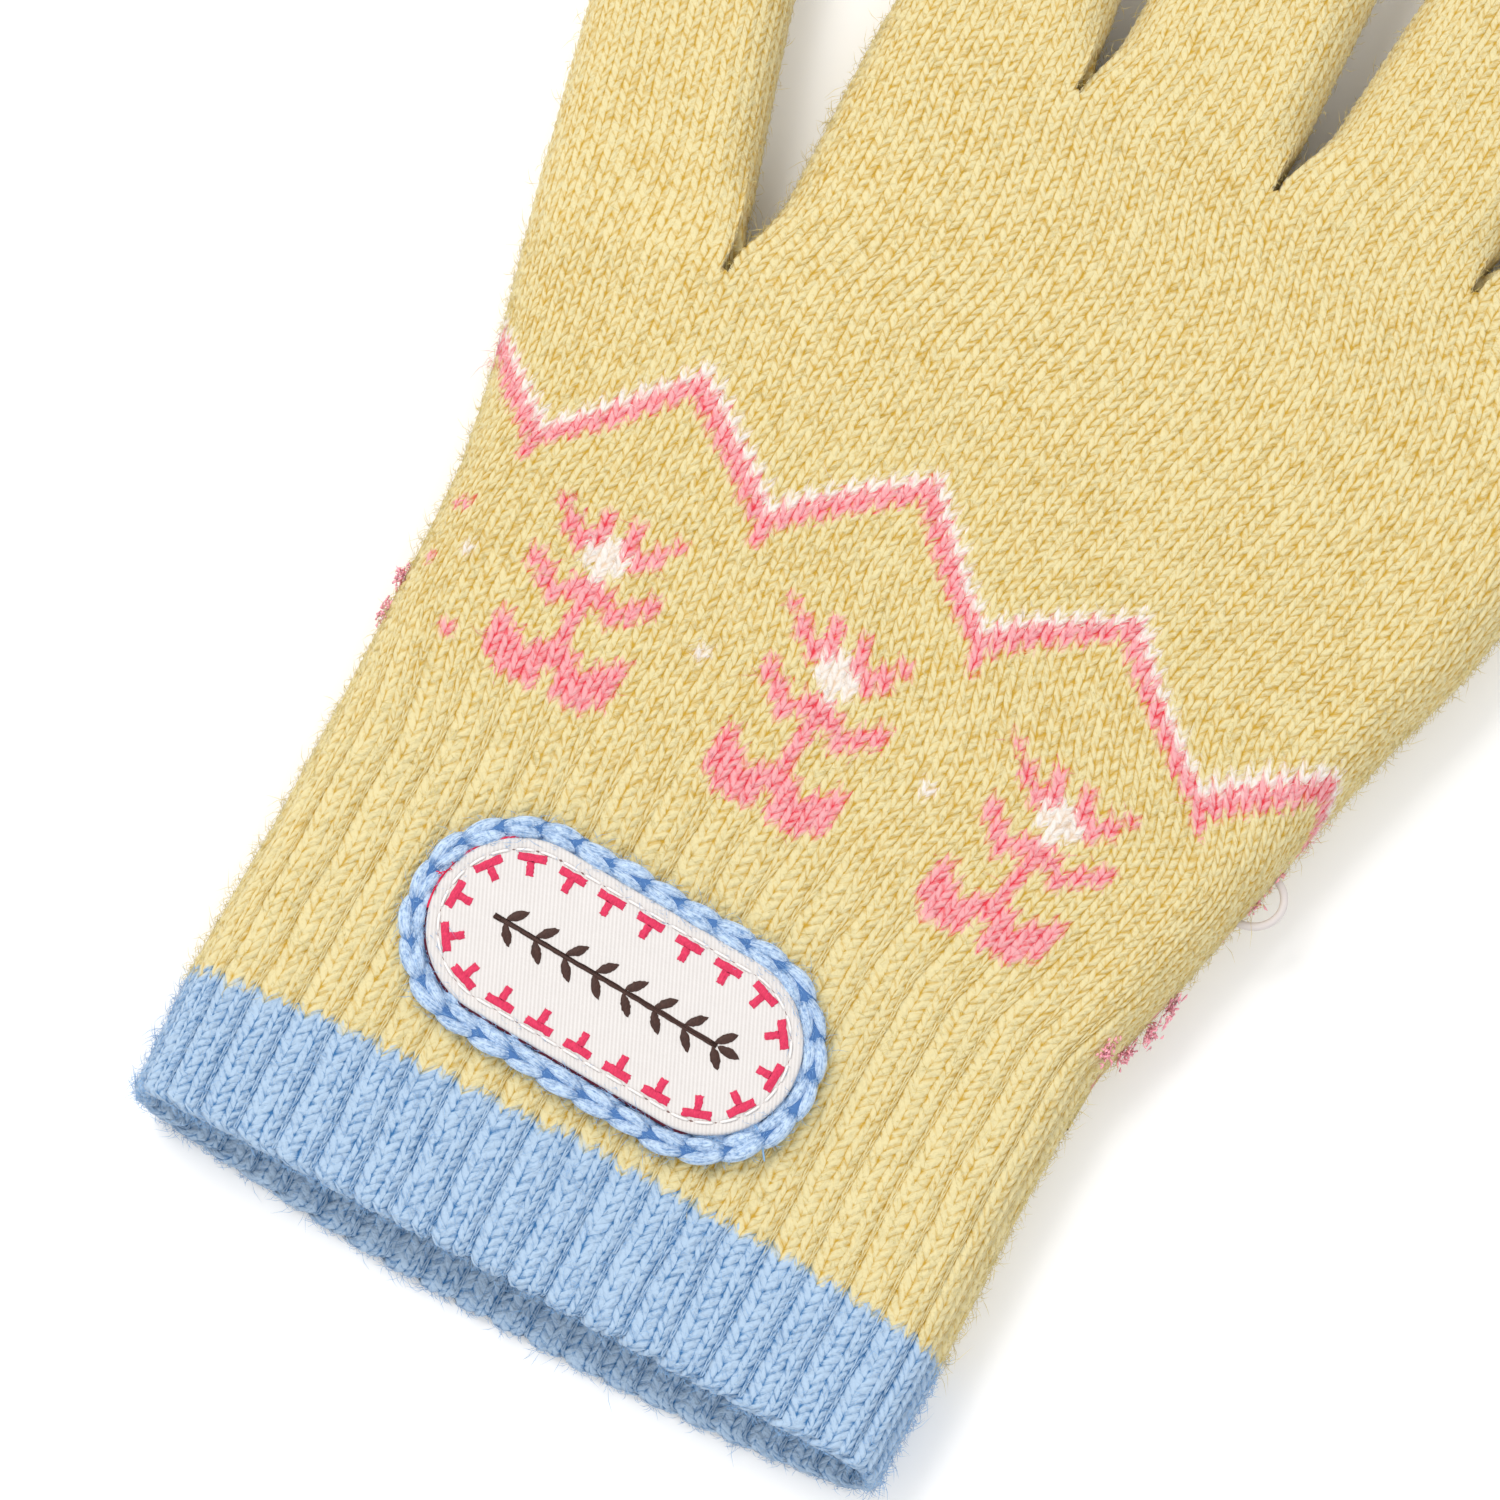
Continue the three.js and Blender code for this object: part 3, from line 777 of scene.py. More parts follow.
def colour_chart(base):
    """One yarn for each stitch, with the flowers, the zigzag and the strays on the front."""
    chart = np.full((RING_WALES, LAST_COURSE), base)
    for middle in FLOWER_MIDDLES:
        for row, marks in enumerate(FLOWER):
            for column, mark in enumerate(marks):
                if mark != ".":
                    yarn = PINK if mark == "P" else WHITE
                    chart[middle - 4 + column, FLOWER_TOP - row] = yarn
    for wale in range(SIDE_WALES):
        down = min(abs(wale - peak) for peak in ZIGZAG_PEAKS)
        chart[wale, ZIGZAG_TOP - down] = WHITE
        chart[wale, ZIGZAG_TOP - down - 2:ZIGZAG_TOP - down] = PINK
        if down == ZIGZAG_HALF:
            chart[wale, ZIGZAG_TOP - down - 3] = PINK
    for wale, course, yarn in STRAY_STITCHES:
        chart[wale, course] = yarn
    return chart


hand_chart = colour_chart(YELLOW)
plain_chart = np.full((RING_WALES, LAST_COURSE), YELLOW)
cuff_chart = np.full((RING_WALES, LAST_COURSE), BLUE)
cuff_chart[:, BAND_COURSES:] = YELLOW
hand_chart[:, :BAND_COURSES] = BLUE
print("pink and white stitches", int((hand_chart != YELLOW).sum()))

# %% [markdown]
# Every mesh is made by the same small function from arrays of points and faces. The knit stores
# its yarn and its place, so that one material can dress all of it.

# %% Making a mesh
def mesh_object(name, points, polygons, uv=None):
    """A smooth-shaded mesh object from points in mm in the glove frame."""
    mesh = bpy.data.meshes.new(name)
    mesh.from_pydata(glove_to_world(points), [], polygons)
    mesh.polygons.foreach_set("use_smooth", np.ones(len(mesh.polygons), bool))
    if uv is not None:
        layer = mesh.uv_layers.new(name="run")
        layer.data.foreach_set("uv", np.asarray(uv, np.float32).ravel())
    mesh.update()
    made = bpy.data.objects.new(name, mesh)
    bpy.context.collection.objects.link(made)
    return made


def round_faces(rows, next_rows, columns):
    """Four corners of each face between rows and the rows after them, where a row is a ring."""
    here = np.arange(columns)
    beside = (here + 1) % columns
    now, then = rows[:, None] * columns, next_rows[:, None] * columns
    return np.stack([now + here, now + beside, then + beside, then + here], -1).reshape(-1, 4)


def store(made, name, kind, domain, values):
    """Writes one value for each point or face corner into a named attribute."""
    attribute = made.data.attributes.new(name, kind, domain)
    field = "color" if kind == "FLOAT_COLOR" else "value"
    attribute.data.foreach_set(field, np.asarray(values, np.float32).ravel())


def opaque(colours):
    """The colours with a fourth number of 1."""
    return np.concatenate([colours, np.ones((*colours.shape[:-1], 1))], axis=-1)


print("mesh tools ready")

# %% [markdown]
# One function knits every piece. It lays the zigzag grid, finds the skin and its outward
# direction by small steps along and across, sinks the relief, adds the inner side of the wall and
# joins the two at the ends, so a piece is a closed wall and not a sheet of paper.

# %% Knitting a piece
STEP = 0.08                    # in stitches, for the outward direction
TOP_FINE, FOLD_FINE, UNDER_FINE = 6, 4, 2      # grid columns in a wale, by where it lies
FOLD_WALES = 6
INNER_EVERY = 5                # courses between two rows of the inner side
PLUMP_SPREAD, PLUMP_RANGE = 0.13, (0.6, 1.15)  # how much the legs differ in plumpness
LEG_BREADTH, ROUND_BREADTH = 1.3, 1.6          # in mm; narrower wales have a flatter relief,
LEAST_RELIEF = 0.1             # down to that share
TINY = 1e-9                    # keeps a division by a length from failing
hair_beds = []                 # where loose hairs may grow, one entry for each piece


def wale_columns(wales, top_columns, skipped=(), under_columns=UNDER_FINE):
    """Ring places of the grid's columns: fine on top, coarser at the folds and underneath."""
    columns = []
    for wale in range(wales):
        under = wale >= wales / 2
        deep = FOLD_WALES < wale - wales / 2 < wales / 2 - FOLD_WALES
        count = (under_columns if deep else FOLD_FINE) if under else top_columns
        if wale not in skipped:
            columns.append(wale + np.arange(count) / count)
    return np.concatenate(columns)


def skin(place, s, r, inset, rise, shift):
    """Points of the smooth skin, its outward direction and the steps of a wale and a course."""
    def at(ds, dr):
        return place(s + ds + shift[0], r + dr + rise + shift[1], r + dr, inset)

    across = (at(STEP, 0) - at(-STEP, 0)) / (2 * STEP)
    along = (at(0, STEP) - at(0, -STEP)) / (2 * STEP)
    out = np.cross(across, along)
    out /= np.maximum(np.linalg.norm(out, axis=-1, keepdims=True), TINY)
    return at(0, 0), out, across, along


def knit(name, place, wales, columns, courses, per_course, chart, ribbed=False, closed=False,
         inner_rows=None):
    """A closed wall of knit between two courses; returns its object."""
    start, end = courses
    rows = np.linspace(start, end, (end - start) * per_course + 1)
    s, r = np.meshgrid(columns, rows)
    rise = climb(s, r, ribbed, end, closed)
    shift = wander(place(s, r + rise, r, 0.0))
    points, out, across, along = skin(place, s, r, 0.0, rise, shift)
    random = np.random.default_rng(1000 * wales + start + 50)
    leg_grid = (2 * wales, end - start + 1)
    plump = np.clip(1 + PLUMP_SPREAD * random.standard_normal(leg_grid), *PLUMP_RANGE)
    tone = random.standard_normal(leg_grid)
    leg = np.floor(2 * s).astype(int) % (2 * wales)
    course = np.clip(np.floor(r).astype(int) - start, 0, end - start)
    height = leg_relief(s, r, plump[leg, course])
    breadth = np.linalg.norm(across, axis=-1)
    sink = LEG_DEPTH * np.clip(breadth / LEG_BREADTH, LEAST_RELIEF, 1) * (1 - height)
    valley = rib_sink(np.where(s <= SIDE_WALES, s, RING_WALES - s), points[..., 1]) * ribbed
    sink = sink + valley + UNDULATION * (0.5 + WAVE_SHARE * layered_noise(points, CLOTH_WAVES))
    roundness = WALE_ROUND * np.clip(breadth / ROUND_BREADTH, LEAST_RELIEF, 1)
    sink = sink + roundness * np.cos(math.pi * s) ** 2
    outer = points - out * sink[..., None]
    if inner_rows is None:
        inner_rows = np.unique(np.append(np.arange(start, end, INNER_EVERY), end))[::-1]
    inner_s, inner_r = np.meshgrid(columns, np.asarray(inner_rows, float))
    inner_rise = climb(inner_s, inner_r, ribbed, end, closed)
    inner = place(inner_s, inner_r + inner_rise, inner_r, WALL)
    grid = np.concatenate([inner, outer])
    spots = np.concatenate([np.stack([inner_s, inner_r], -1), np.stack([s, r], -1)])
    # Painted shade in the ribs' valleys, less a painted light that pales the ribs all over; stored
    # as 'valley'.
    pale = RIB_PAINTED_LIGHT * (1 - smooth(*RIB_FADE, points[..., 1])) * ribbed
    depth = np.concatenate([np.zeros(inner_s.shape), valley / RIB_SINK - pale])
    hair_beds.append((outer, out, across, along, YARNS[chart[
        np.floor(s).astype(int) % wales, np.maximum(np.floor(r).astype(int), 0)]]))
    made = knitted_wall(name, grid, spots, depth, wales, courses, chart, tone, closed)
    inner_count = len(inner_rows)
    sharpened(made, len(columns), [0, inner_count - 1, inner_count, len(grid) - 1])
    return made


print("grid columns in a wale", TOP_FINE, FOLD_FINE, UNDER_FINE)

# %% [markdown]
# A real yarn carries its colour right through, and a stitch of another colour has a soft, hairy
# border. One look at the chart for each face of the grid would draw that border in hard steps. So
# each face looks a few times, each time a little beside its own place, and takes the mean.

# %% The wall of a piece
FRAY = (0.46, 1.0)             # how far a yarn's colour strays, in wales and courses
FLATTEN = 0.4                  # share of a row's zigzag that its colour doesn't follow
YARN_LOOKS = 3


def frayed(chart, middle, wales):
    """Yarn colour of each face: the mean of some looks at the chart, each a little beside it.

    At a wale's edges the looks go up and at its middle down, by half of FLATTEN.
    """
    random = np.random.default_rng(wales)
    total = np.zeros((len(middle), 3))
    tent = np.abs(2 * (middle[:, :1] % 1.0) - 1)
    middle = middle + FLATTEN * (tent - 0.5) * (0, 1)
    for _ in range(YARN_LOOKS):
        look = middle + (random.random(middle.shape) - 0.5) * FRAY
        course = np.maximum(np.floor(look[:, 1]).astype(int), 0)
        total += YARNS[chart[np.floor(look[:, 0]).astype(int) % wales, course]]
    return total / YARN_LOOKS


def sharpened(made, columns, rows):
    """Marks the edges along those rows of a grid as sharp, so no shading runs round them."""
    ends = np.zeros(2 * len(made.data.edges), np.int64)
    made.data.edges.foreach_get("vertices", ends)
    row = (ends // columns).reshape(-1, 2)
    sharp = (row[:, 0] == row[:, 1]) & np.isin(row[:, 0], rows)
    made.data.edges.foreach_set("use_edge_sharp", sharp)


def knitted_wall(name, grid, spots, depth, wales, courses, chart, tone, closed):
    """The mesh of a wall from its grid of points, cyclic round the ring."""
    rows, columns = grid.shape[:2]
    row_now = np.arange(rows - 1 if closed else rows)
    row_next = (row_now + 1) % rows
    faces = round_faces(row_now, row_next, columns)
    left, run = spots[..., 0], spots[..., 1]
    right = np.roll(left, -1, axis=1)
    right = np.where((right < left) | (right > left + 1), np.ceil(left + 1e-6), right)
    corner_s = np.stack([left[row_now], right[row_now], right[row_next], left[row_next]], -1)
    corner_r = np.stack([run[row_now], run[row_now], run[row_next], run[row_next]], -1)
    corners = np.stack([corner_s, corner_r], -1).reshape(-1, 4, 2)
    middle = corners.mean(axis=1)
    leg = np.floor(2 * middle[:, 0]).astype(int) % (2 * wales)
    course = np.clip(np.floor(middle[:, 1]).astype(int), courses[0], courses[1] - 1)
    yarn = np.repeat(frayed(chart, middle, wales), 4, axis=0)
    chance = np.repeat(tone[leg, course - courses[0]], 4)
    points = grid.reshape(-1, 3)
    uv = corners.reshape(-1, 2)
    depth = depth.ravel()
    polygons = faces.tolist()
    if closed:
        here = np.arange(columns)
        for row, turned in ((0, True), (rows - 1, False)):
            ring = row * columns + here
            next_ring = row * columns + (here + 1) % columns
            first, second = (next_ring, ring) if turned else (ring, next_ring)
            polygons += np.stack([np.full(columns, len(points)), first, second], -1).tolist()
            points = np.vstack([points, points[ring].mean(axis=0)])
            depth = np.append(depth, 0.0)
        caps = 2 * 3 * columns
        yarn = np.vstack([yarn, np.repeat(yarn[:1], caps, axis=0)])
        chance = np.append(chance, np.zeros(caps))
        uv = np.vstack([uv, np.full((caps, 2), 0.25)])
    made = mesh_object(name, points, polygons, uv)
    store(made, "yarn", "FLOAT_COLOR", "CORNER", opaque(yarn))
    store(made, "chance", "FLOAT", "CORNER", chance)
    store(made, "valley", "FLOAT", "POINT", depth)
    return made


print("looks at the chart", YARN_LOOKS)

# %% [markdown]
# The whole glove could be one mesh, but then no part of it could have its own fineness or its own
# finish. It is knitted in pieces, each of which starts at a course where another one ends: the
# blue band, the ribbed wrist, the flowers, the palm, the knuckles, four fingers and the thumb.

# %% The pieces of the glove
def triangles(made):
    """How many triangles a mesh comes to."""
    return sum(len(polygon.vertices) - 2 for polygon in made.data.polygons)


KNIT_NODES = {                 # the solids that a piece takes the place of, if not the hand
    "knuckle_knit": ("hand", "fingers"), "index_knit": ("fingers",), "middle_knit": ("fingers",),
    "ring_knit": ("fingers",), "little_knit": ("fingers",),
}
ring_columns = wale_columns(RING_WALES, TOP_FINE)
closed_up = {wale for wale in range(SIDE_WALES) if WRIST_WALES[wale] == NO_WALE}
no_width = closed_up | {RING_WALES - 1 - wale for wale in closed_up}
rib_columns = wale_columns(RING_WALES, TOP_FINE, no_width)
cuff_columns = wale_columns(RING_WALES, TOP_FINE, no_width, FOLD_FINE)
upper_columns = wale_columns(UPPER_RING, TOP_FINE)
PER_COURSE = 4                 # grid rows in a course
FINGER_TOP_FINE = 4
FINGER_PER_COURSE = 2
TURNED_IN = 8                  # courses that the cuff's fine knit goes on round the rim,
INNER_FROM = 8                 # and the course from which its inner side is coarse
cuff_knit = knit("cuff_band_knit", cuff, RING_WALES, cuff_columns, (-TURNED_IN, BAND_COURSES),
                 PER_COURSE, cuff_chart, ribbed=True, inner_rows=(BAND_COURSES, INNER_FROM))
hand_knits = [
    knit("wrist_knit", lower_hand, RING_WALES, rib_columns, (BAND_COURSES, WRIST_COURSES),
         PER_COURSE, hand_chart, ribbed=True),
    knit("flower_knit", lower_hand, RING_WALES, ring_columns, (WRIST_COURSES, MOTIF_COURSES),
         PER_COURSE, hand_chart, ribbed=True),
    knit("palm_knit", lower_hand, RING_WALES, ring_columns, (MOTIF_COURSES, THUMB_COURSE),
         PER_COURSE, hand_chart),
    knit("knuckle_knit", upper_hand, UPPER_RING, upper_columns, (THUMB_COURSE, KNUCKLE_COURSE),
         PER_COURSE, plain_chart),
]
for name, (wales, place, last_course) in digits.items():
    first_course = THUMB_COURSE if name == "thumb" else KNUCKLE_COURSE
    hand_knits.append(knit(f"{name}_knit", place, wales, wale_columns(wales, FINGER_TOP_FINE),
                           (first_course, last_course), FINGER_PER_COURSE, plain_chart,
                           closed=True))
for piece in [cuff_knit, *hand_knits]:
    print(piece.name, "triangles", triangles(piece))

# %% [markdown]
# The wool is one material for every yarn. The grain of each leg is worked out again here from the
# place in the knit, finer than the mesh can hold it, and each leg gets a little luck of its own.
# In the gaps between the legs, at their ends and in the ribs' valleys, shade is painted into the
# colour: there it is multiplied by itself, as light that has met two hairs is. A painted sheen
# pales the rest, and the ribs are painted a little lighter all over. Over it all lie loose curled
# hairs: the lines where a smooth noise passes through its middle value.

# %% Wool
LEG_LUCK = 0.34                # spread of a leg's place, in half sizes of its cell
CURLS = ((1100, 0.075, 3.0), (700, 0.10, 17.0))        # cells to a metre, line's breadth, where
TUFT_CELLS = 900               # cells of the short fuzz to a metre
LEG_LIGHT = 0.93               # how near the middle of a leg comes to its lit colour, from 0 in a painted-shade gap to 1
ENDS_SHADE, ROWS_SHADE = 0.70, 0.58            # painted shade by that at its ends and its other edges
RIGHT_SHADE = 0.13             # darker by that on a wale's right leg, away from the key light
CHANCE_SHADE = 0.06            # spread of the legs' own tones
STREAK_CONTRAST, TUFT_CONTRAST = 1.6, 0.55
# how far the curled hairs pale the colour, and how deep the painted shade in the ribs' valleys is
CURL_LIGHT, VALLEY_SHADE = 0.30, 0.28
# share of the painted sheen in the legs' lit colour
SHEEN_SHARE = 0.27
BLUE_GAIN = 2.3                # how fast a yarn counts as blue: times its blue less its red
# tints of the painted shade in the gaps between the legs
GAP_SHADE = (1.25, 1.12, 0.86, 1)
BLUE_GAP_SHADE = (0.7, 0.85, 0.75, 1)          # the same for blue yarn, whose gaps are colder
HAIR_SHEEN = (0.80, 0.78, 0.66, 1)             # where light grazes the hairs of any yarn


def curled_hairs(finish):
    """Fine curled lines: 1 less the noise's distance from its middle over the line's breadth."""
    total = None
    for cells, breadth, where in CURLS:
        x, y, z = finish.parts(finish.place(cells))
        field = finish.noise(finish.vector(x + where, y, z), 1.5, 0.6)
        line = (1 - abs(field - 0.5) * (1 / breadth)).at_least(0.0)
        total = line if total is None else total + line
    return total


def wool(name, bump_depth):
    """Knitted wool: yarn colour, painted shade in the gaps, painted sheen, hairs along and over it.
    """
    finish = Finish(name, {"Roughness": 0.95, "Specular IOR Level": 0.05, "Sheen Weight": 0.2,
                           "Sheen Roughness": 0.5, "Sheen Tint": (1, 1, 1, 1)})
    yarn = finish.attribute("yarn")["Color"]
    valley = finish.attribute("valley")["Fac"]
    chance = finish.attribute("chance")["Fac"]
    u, v, _ = finish.parts(finish.node("ShaderNodeUVMap", {"uv_map": "run"}, {})["UV"])
    half_wales = u * 2
    leg = half_wales - half_wales % 1.0
    luck = finish.node("ShaderNodeTexWhiteNoise", {"noise_dimensions": "2D"},
                       {"Vector": finish.vector(leg, v - v % 1.0)})
    luck_x, luck_y, luck_z = finish.parts(luck["Color"])
    along = 2 * abs(2 * (u % 1.0) - 1) - 1
    across = 2 * (v % 1.0) - 1 + (luck_y - 0.5) * LEG_LUCK
    ends = along + (luck_x - 0.5) * LEG_LUCK
    ends = ends * ends
    ends = ends * ends
    rows = across * across
    streaks = finish.noise(finish.vector(along * 0.5 + luck_z * 9, (across + along * 0.25) * 2.1,
                                         luck_z * 5), 2.5, 0.7)
    tufts = finish.noise(finish.place(TUFT_CELLS), 3.0, 0.6)
    curls = curled_hairs(finish)
    # Painted shade: darker at the legs' ends, on the lines between them, on right legs, in rib
    # valleys.
    lit = LEG_LIGHT - ends * ENDS_SHADE - rows * ROWS_SHADE
    lit = lit - leg % 2.0 * RIGHT_SHADE + chance * CHANCE_SHADE
    lit = lit + (streaks - 0.5) * STREAK_CONTRAST + (tufts - 0.5) * TUFT_CONTRAST
    shown = finish.clamped(lit + curls * CURL_LIGHT - valley * VALLEY_SHADE)
    # The painted gap shade: the yarn times itself times a tint, colder for blue yarn.
    red, _, blue = finish.parts(yarn)
    blueness = finish.clamped((blue - red) * BLUE_GAIN)
    gap_shade = finish.mixed(blueness, GAP_SHADE, BLUE_GAP_SHADE)
    shade = finish.mixed(1.0, yarn, gap_shade, "MULTIPLY")
    gap = finish.mixed(1.0, yarn, shade, "MULTIPLY")
    # The lit colour: the yarn with a painted sheen.
    pale = finish.mixed(SHEEN_SHARE, yarn, HAIR_SHEEN)
    finish.feed("Base Color", finish.mixed(shown, gap, pale))
    height = streaks * 0.8 + curls * 0.35 + tufts * 0.4 - ends * 0.3 - rows * 0.4
    finish.feed("Normal", finish.bumped(height, 0.6, bump_depth))
    return finish.material


WOOL_BUMP = 0.0002             # metres
wool_finish = wool("wool", WOOL_BUMP)
for piece in [cuff_knit, *hand_knits]:
    piece.data.materials.append(wool_finish)
    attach(piece, "root")
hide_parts("cuff_band")
for piece in hand_knits:
    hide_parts(*KNIT_NODES.get(piece.name, ("hand",)))
print("wool on", 1 + len(hand_knits), "pieces")

# %% [markdown]
# The crochet chain, the sewing thread and the loose hairs are all strands: closed tubes along a
# path, with a tip at each end. One function makes any number of them at once.

# %% Strands
NEAR_UP = np.array([0.17, 0.11, 0.98])         # hardly any strand runs along it


def strands(name, paths, radii, sides, colours):
    """Closed tubes along many paths at once.

    The first and last point of a path are its tips. Round each point between them lies a ring:
    the point plus the radius times (cos a n + sin a b), with n and b square to the path.
    """
    count, length = paths.shape[:2]
    rings = length - 2
    tangent = np.gradient(paths, axis=1)
    tangent /= np.maximum(np.linalg.norm(tangent, axis=-1, keepdims=True), TINY)
    normal = np.cross(tangent, NEAR_UP)
    normal /= np.maximum(np.linalg.norm(normal, axis=-1, keepdims=True), TINY)
    other = np.cross(tangent, normal)
    angles = np.arange(sides) * 2 * math.pi / sides
    turned = (np.cos(angles)[:, None] * normal[:, 1:-1, None]
              + np.sin(angles)[:, None] * other[:, 1:-1, None])
    ring_points = paths[:, 1:-1, None] + radii[:, 1:-1, None, None] * turned
    points = np.concatenate([paths[:, :1], ring_points.reshape(count, rings * sides, 3),
                             paths[:, -1:]], axis=1)
    size = points.shape[1]
    here = np.arange(sides)
    beside = (here + 1) % sides
    quads = 1 + round_faces(np.arange(rings - 1), np.arange(1, rings), sides)
    last = 1 + (rings - 1) * sides
    starts = np.stack([np.zeros(sides, int), 1 + beside, 1 + here], -1)
    stops = np.stack([np.full(sides, size - 1), last + here, last + beside], -1)
    offsets = (np.arange(count) * size)[:, None, None]
    polygons = (offsets + quads).reshape(-1, 4).tolist()
    polygons += (offsets + np.concatenate([starts, stops])[None]).reshape(-1, 3).tolist()
    made = mesh_object(name, points.reshape(-1, 3), polygons)
    store(made, "yarn", "FLOAT_COLOR", "POINT", opaque(np.repeat(colours, size, axis=0)))
    share = np.linspace(0, 1, rings)[:, None] * np.ones(sides)
    run = np.concatenate([[0.0], share.ravel(), [1.0]])
    around = np.concatenate([[0.0], np.tile(np.cos(angles), rings), [0.0]])
    store(made, "along", "FLOAT", "POINT", (np.arange(count)[:, None] * 2 + run).ravel())
    store(made, "around", "FLOAT", "POINT", np.tile(around, count))
    return made


print("strands ready")

# %% [markdown]
# The label is an oval of firm white twill with its edge turned under and stitched down. It is a
# stack of ovals from the middle of the top, out over the edge and back underneath, with a groove
# where the sewing thread pulls the cloth down.

# %% The label's cloth
LABEL_TURN = math.radians(-2.7)
LABEL_HALF_LENGTH = 19.9
LABEL_RADIUS = 9.1
LABEL_STRAIGHT = LABEL_HALF_LENGTH - LABEL_RADIUS
LABEL_TOP = label_high[2] / MM
LABEL_COLUMNS = 190
SEAM_INSET = 1.2               # the sewing line, from the label's edge
SEAM_DEPTH, SEAM_BREADTH = 0.20, 0.2
SEAM_STITCHES = 38
SEAM_LEAST = 0.62              # share of the groove's depth that is left between the stitches
EDGE_DROP = 0.2                # deeper than that under the top lies the turned edge
FLAT_INSETS = (8.7, 8.0, 7.0, 6.0, 5.0, 4.0, 3.2, 2.4, 1.8, 1.5, 1.35, 1.2, 1.05, 0.9, 0.6)
LABEL_PROFILE = np.array([     # inset from the edge, height under the top
    *((inset, 0.0) for inset in FLAT_INSETS), (0.35, 0.02), (0.2, 0.05), (0.08, 0.13), (0.0, 0.3),
    (0.0, 0.6), (0.0, 0.95), (0.1, 1.2), (0.4, 1.3), (4.0, 1.3), (8.7, 1.3),
])


def oval(t, radius):
    """Point and outward direction on an oval: t from 0 to 4, one for each straight and arc."""
    part = t % 1.0
    leg = np.floor(t).astype(int) % 4
    turn = math.pi * part
    sign = np.where(leg < 2, 1.0, -1.0)
    arc = leg % 2 == 1
    x = sign * np.where(arc, LABEL_STRAIGHT + radius * np.sin(turn), LABEL_STRAIGHT * (2 * part - 1))
    y = sign * np.where(arc, radius * np.cos(turn), radius)
    out_x = sign * np.where(arc, np.sin(turn), 0.0)
    out_y = sign * np.where(arc, np.cos(turn), 1.0)
    return np.stack([x, y], -1), np.stack([out_x, out_y], -1)


def oval_run(distance, radius):
    """The oval's t at a distance along it, so that equal steps are equally long."""
    marks = np.cumsum([0, *[2 * LABEL_STRAIGHT, math.pi * radius] * 2])
    return np.interp(distance % marks[-1], marks, np.arange(5))


def oval_length(radius):
    """Length round the oval: two straights and a whole circle."""
    return 4 * LABEL_STRAIGHT + 2 * math.pi * radius


def oval_turns(radius, count):
    """The oval's t at so many equal steps, once round."""
    return oval_run(np.linspace(0, oval_length(radius), count + 1)[:-1], radius)


def edgewise(out):
    """Directions along the oval, each a quarter turn from its outward one."""
    return np.stack([out[:, 1], -out[:, 0]], -1)


def on_label(points):
    """Points in the label's own frame, turned and moved to where it is sewn on."""
    cosine, sine = math.cos(LABEL_TURN), math.sin(LABEL_TURN)
    x = LABEL_AT[0] + points[..., 0] * cosine - points[..., 1] * sine
    y = LABEL_AT[1] + points[..., 0] * sine + points[..., 1] * cosine
    return np.stack([x, y, points[..., 2]], axis=-1)


def label_cloth():
    """The label's mesh, ovals joined by bands and closed by one face above and one below."""
    turns = oval_turns(LABEL_RADIUS, LABEL_COLUMNS)
    inset = LABEL_PROFILE[:, :1]
    flat, _ = oval(turns[None, :] + 0 * inset, LABEL_RADIUS - inset)
    stitch = np.arange(len(turns)) / len(turns) * SEAM_STITCHES
    pull = SEAM_LEAST + (1 - SEAM_LEAST) * np.cos(2 * math.pi * stitch) ** 6
    groove = SEAM_DEPTH * np.exp(-((inset - SEAM_INSET) / SEAM_BREADTH) ** 2) * pull
    groove = groove * (LABEL_PROFILE[:, 1:] < EDGE_DROP)
    height = LABEL_TOP - LABEL_PROFILE[:, 1:] - groove
    grid = on_label(raised(flat, height[..., None]))
    rows, columns = grid.shape[:2]
    here = np.arange(columns)
    faces = round_faces(np.arange(rows - 1), np.arange(1, rows), columns)
    polygons = np.roll(faces, -1, axis=1).tolist()
    polygons.append(here[::-1].tolist())
    polygons.append(((rows - 1) * columns + here).tolist())
    return mesh_object("label_cloth", grid.reshape(-1, 3), polygons)


cloth = label_cloth()
print("label", cloth.dimensions[:], "triangles", triangles(cloth))

# %% [markdown]
# The cloth is a fine white twill. At the camera's distance its weave is only a faint slant, so it
# is a formula on the object's own coordinates and no mesh. The ribs both colour and bump it.

# %% Twill
TWILL_RIBS = 2.5               # ribs to a millimetre
TWILL_WAY = (0.94, 0.42)       # the direction across them
TWILL_DEEP, TWILL_PALE = (0.52, 0.485, 0.465, 1), (0.73, 0.70, 0.685, 1)


def twill():
    """White twill: fine slanting ribs, 0.4 mm apart, with a faint warm mottle."""
    finish = Finish("label_twill", {"Roughness": 0.75, "Specular IOR Level": 0.3})
    x, y, _ = finish.parts(finish.place(1 / MM))
    slant = x * TWILL_WAY[0] + y * TWILL_WAY[1]
    rib = abs(2 * ((slant * TWILL_RIBS) % 1.0) - 1)
    threads = finish.noise(finish.vector(x * 1.5, y * 9.0), 2.0)
    cloud = finish.noise(finish.vector(x * 0.5, y * 0.5), 2.0)
    share = finish.clamped(rib * 0.6 + threads * 0.35 + cloud * 0.2)
    finish.feed("Base Color", finish.mixed(share, TWILL_DEEP, TWILL_PALE))
    finish.feed("Normal", finish.bumped(rib * 0.7 + threads * 0.4, 0.5, 0.00012))
    return finish.material


cloth.data.materials.append(twill())
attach(cloth, "root")
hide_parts("label")
print("twill on the label")

# %% [markdown]
# The red border is a ring of twenty short marks, each a bar and a stem, woven into the cloth.
# They stand a few hundredths of a millimetre proud, so they are thin plates on the twill. In the
# middle is a plain dark sprig: a stem with small leaves in pairs.

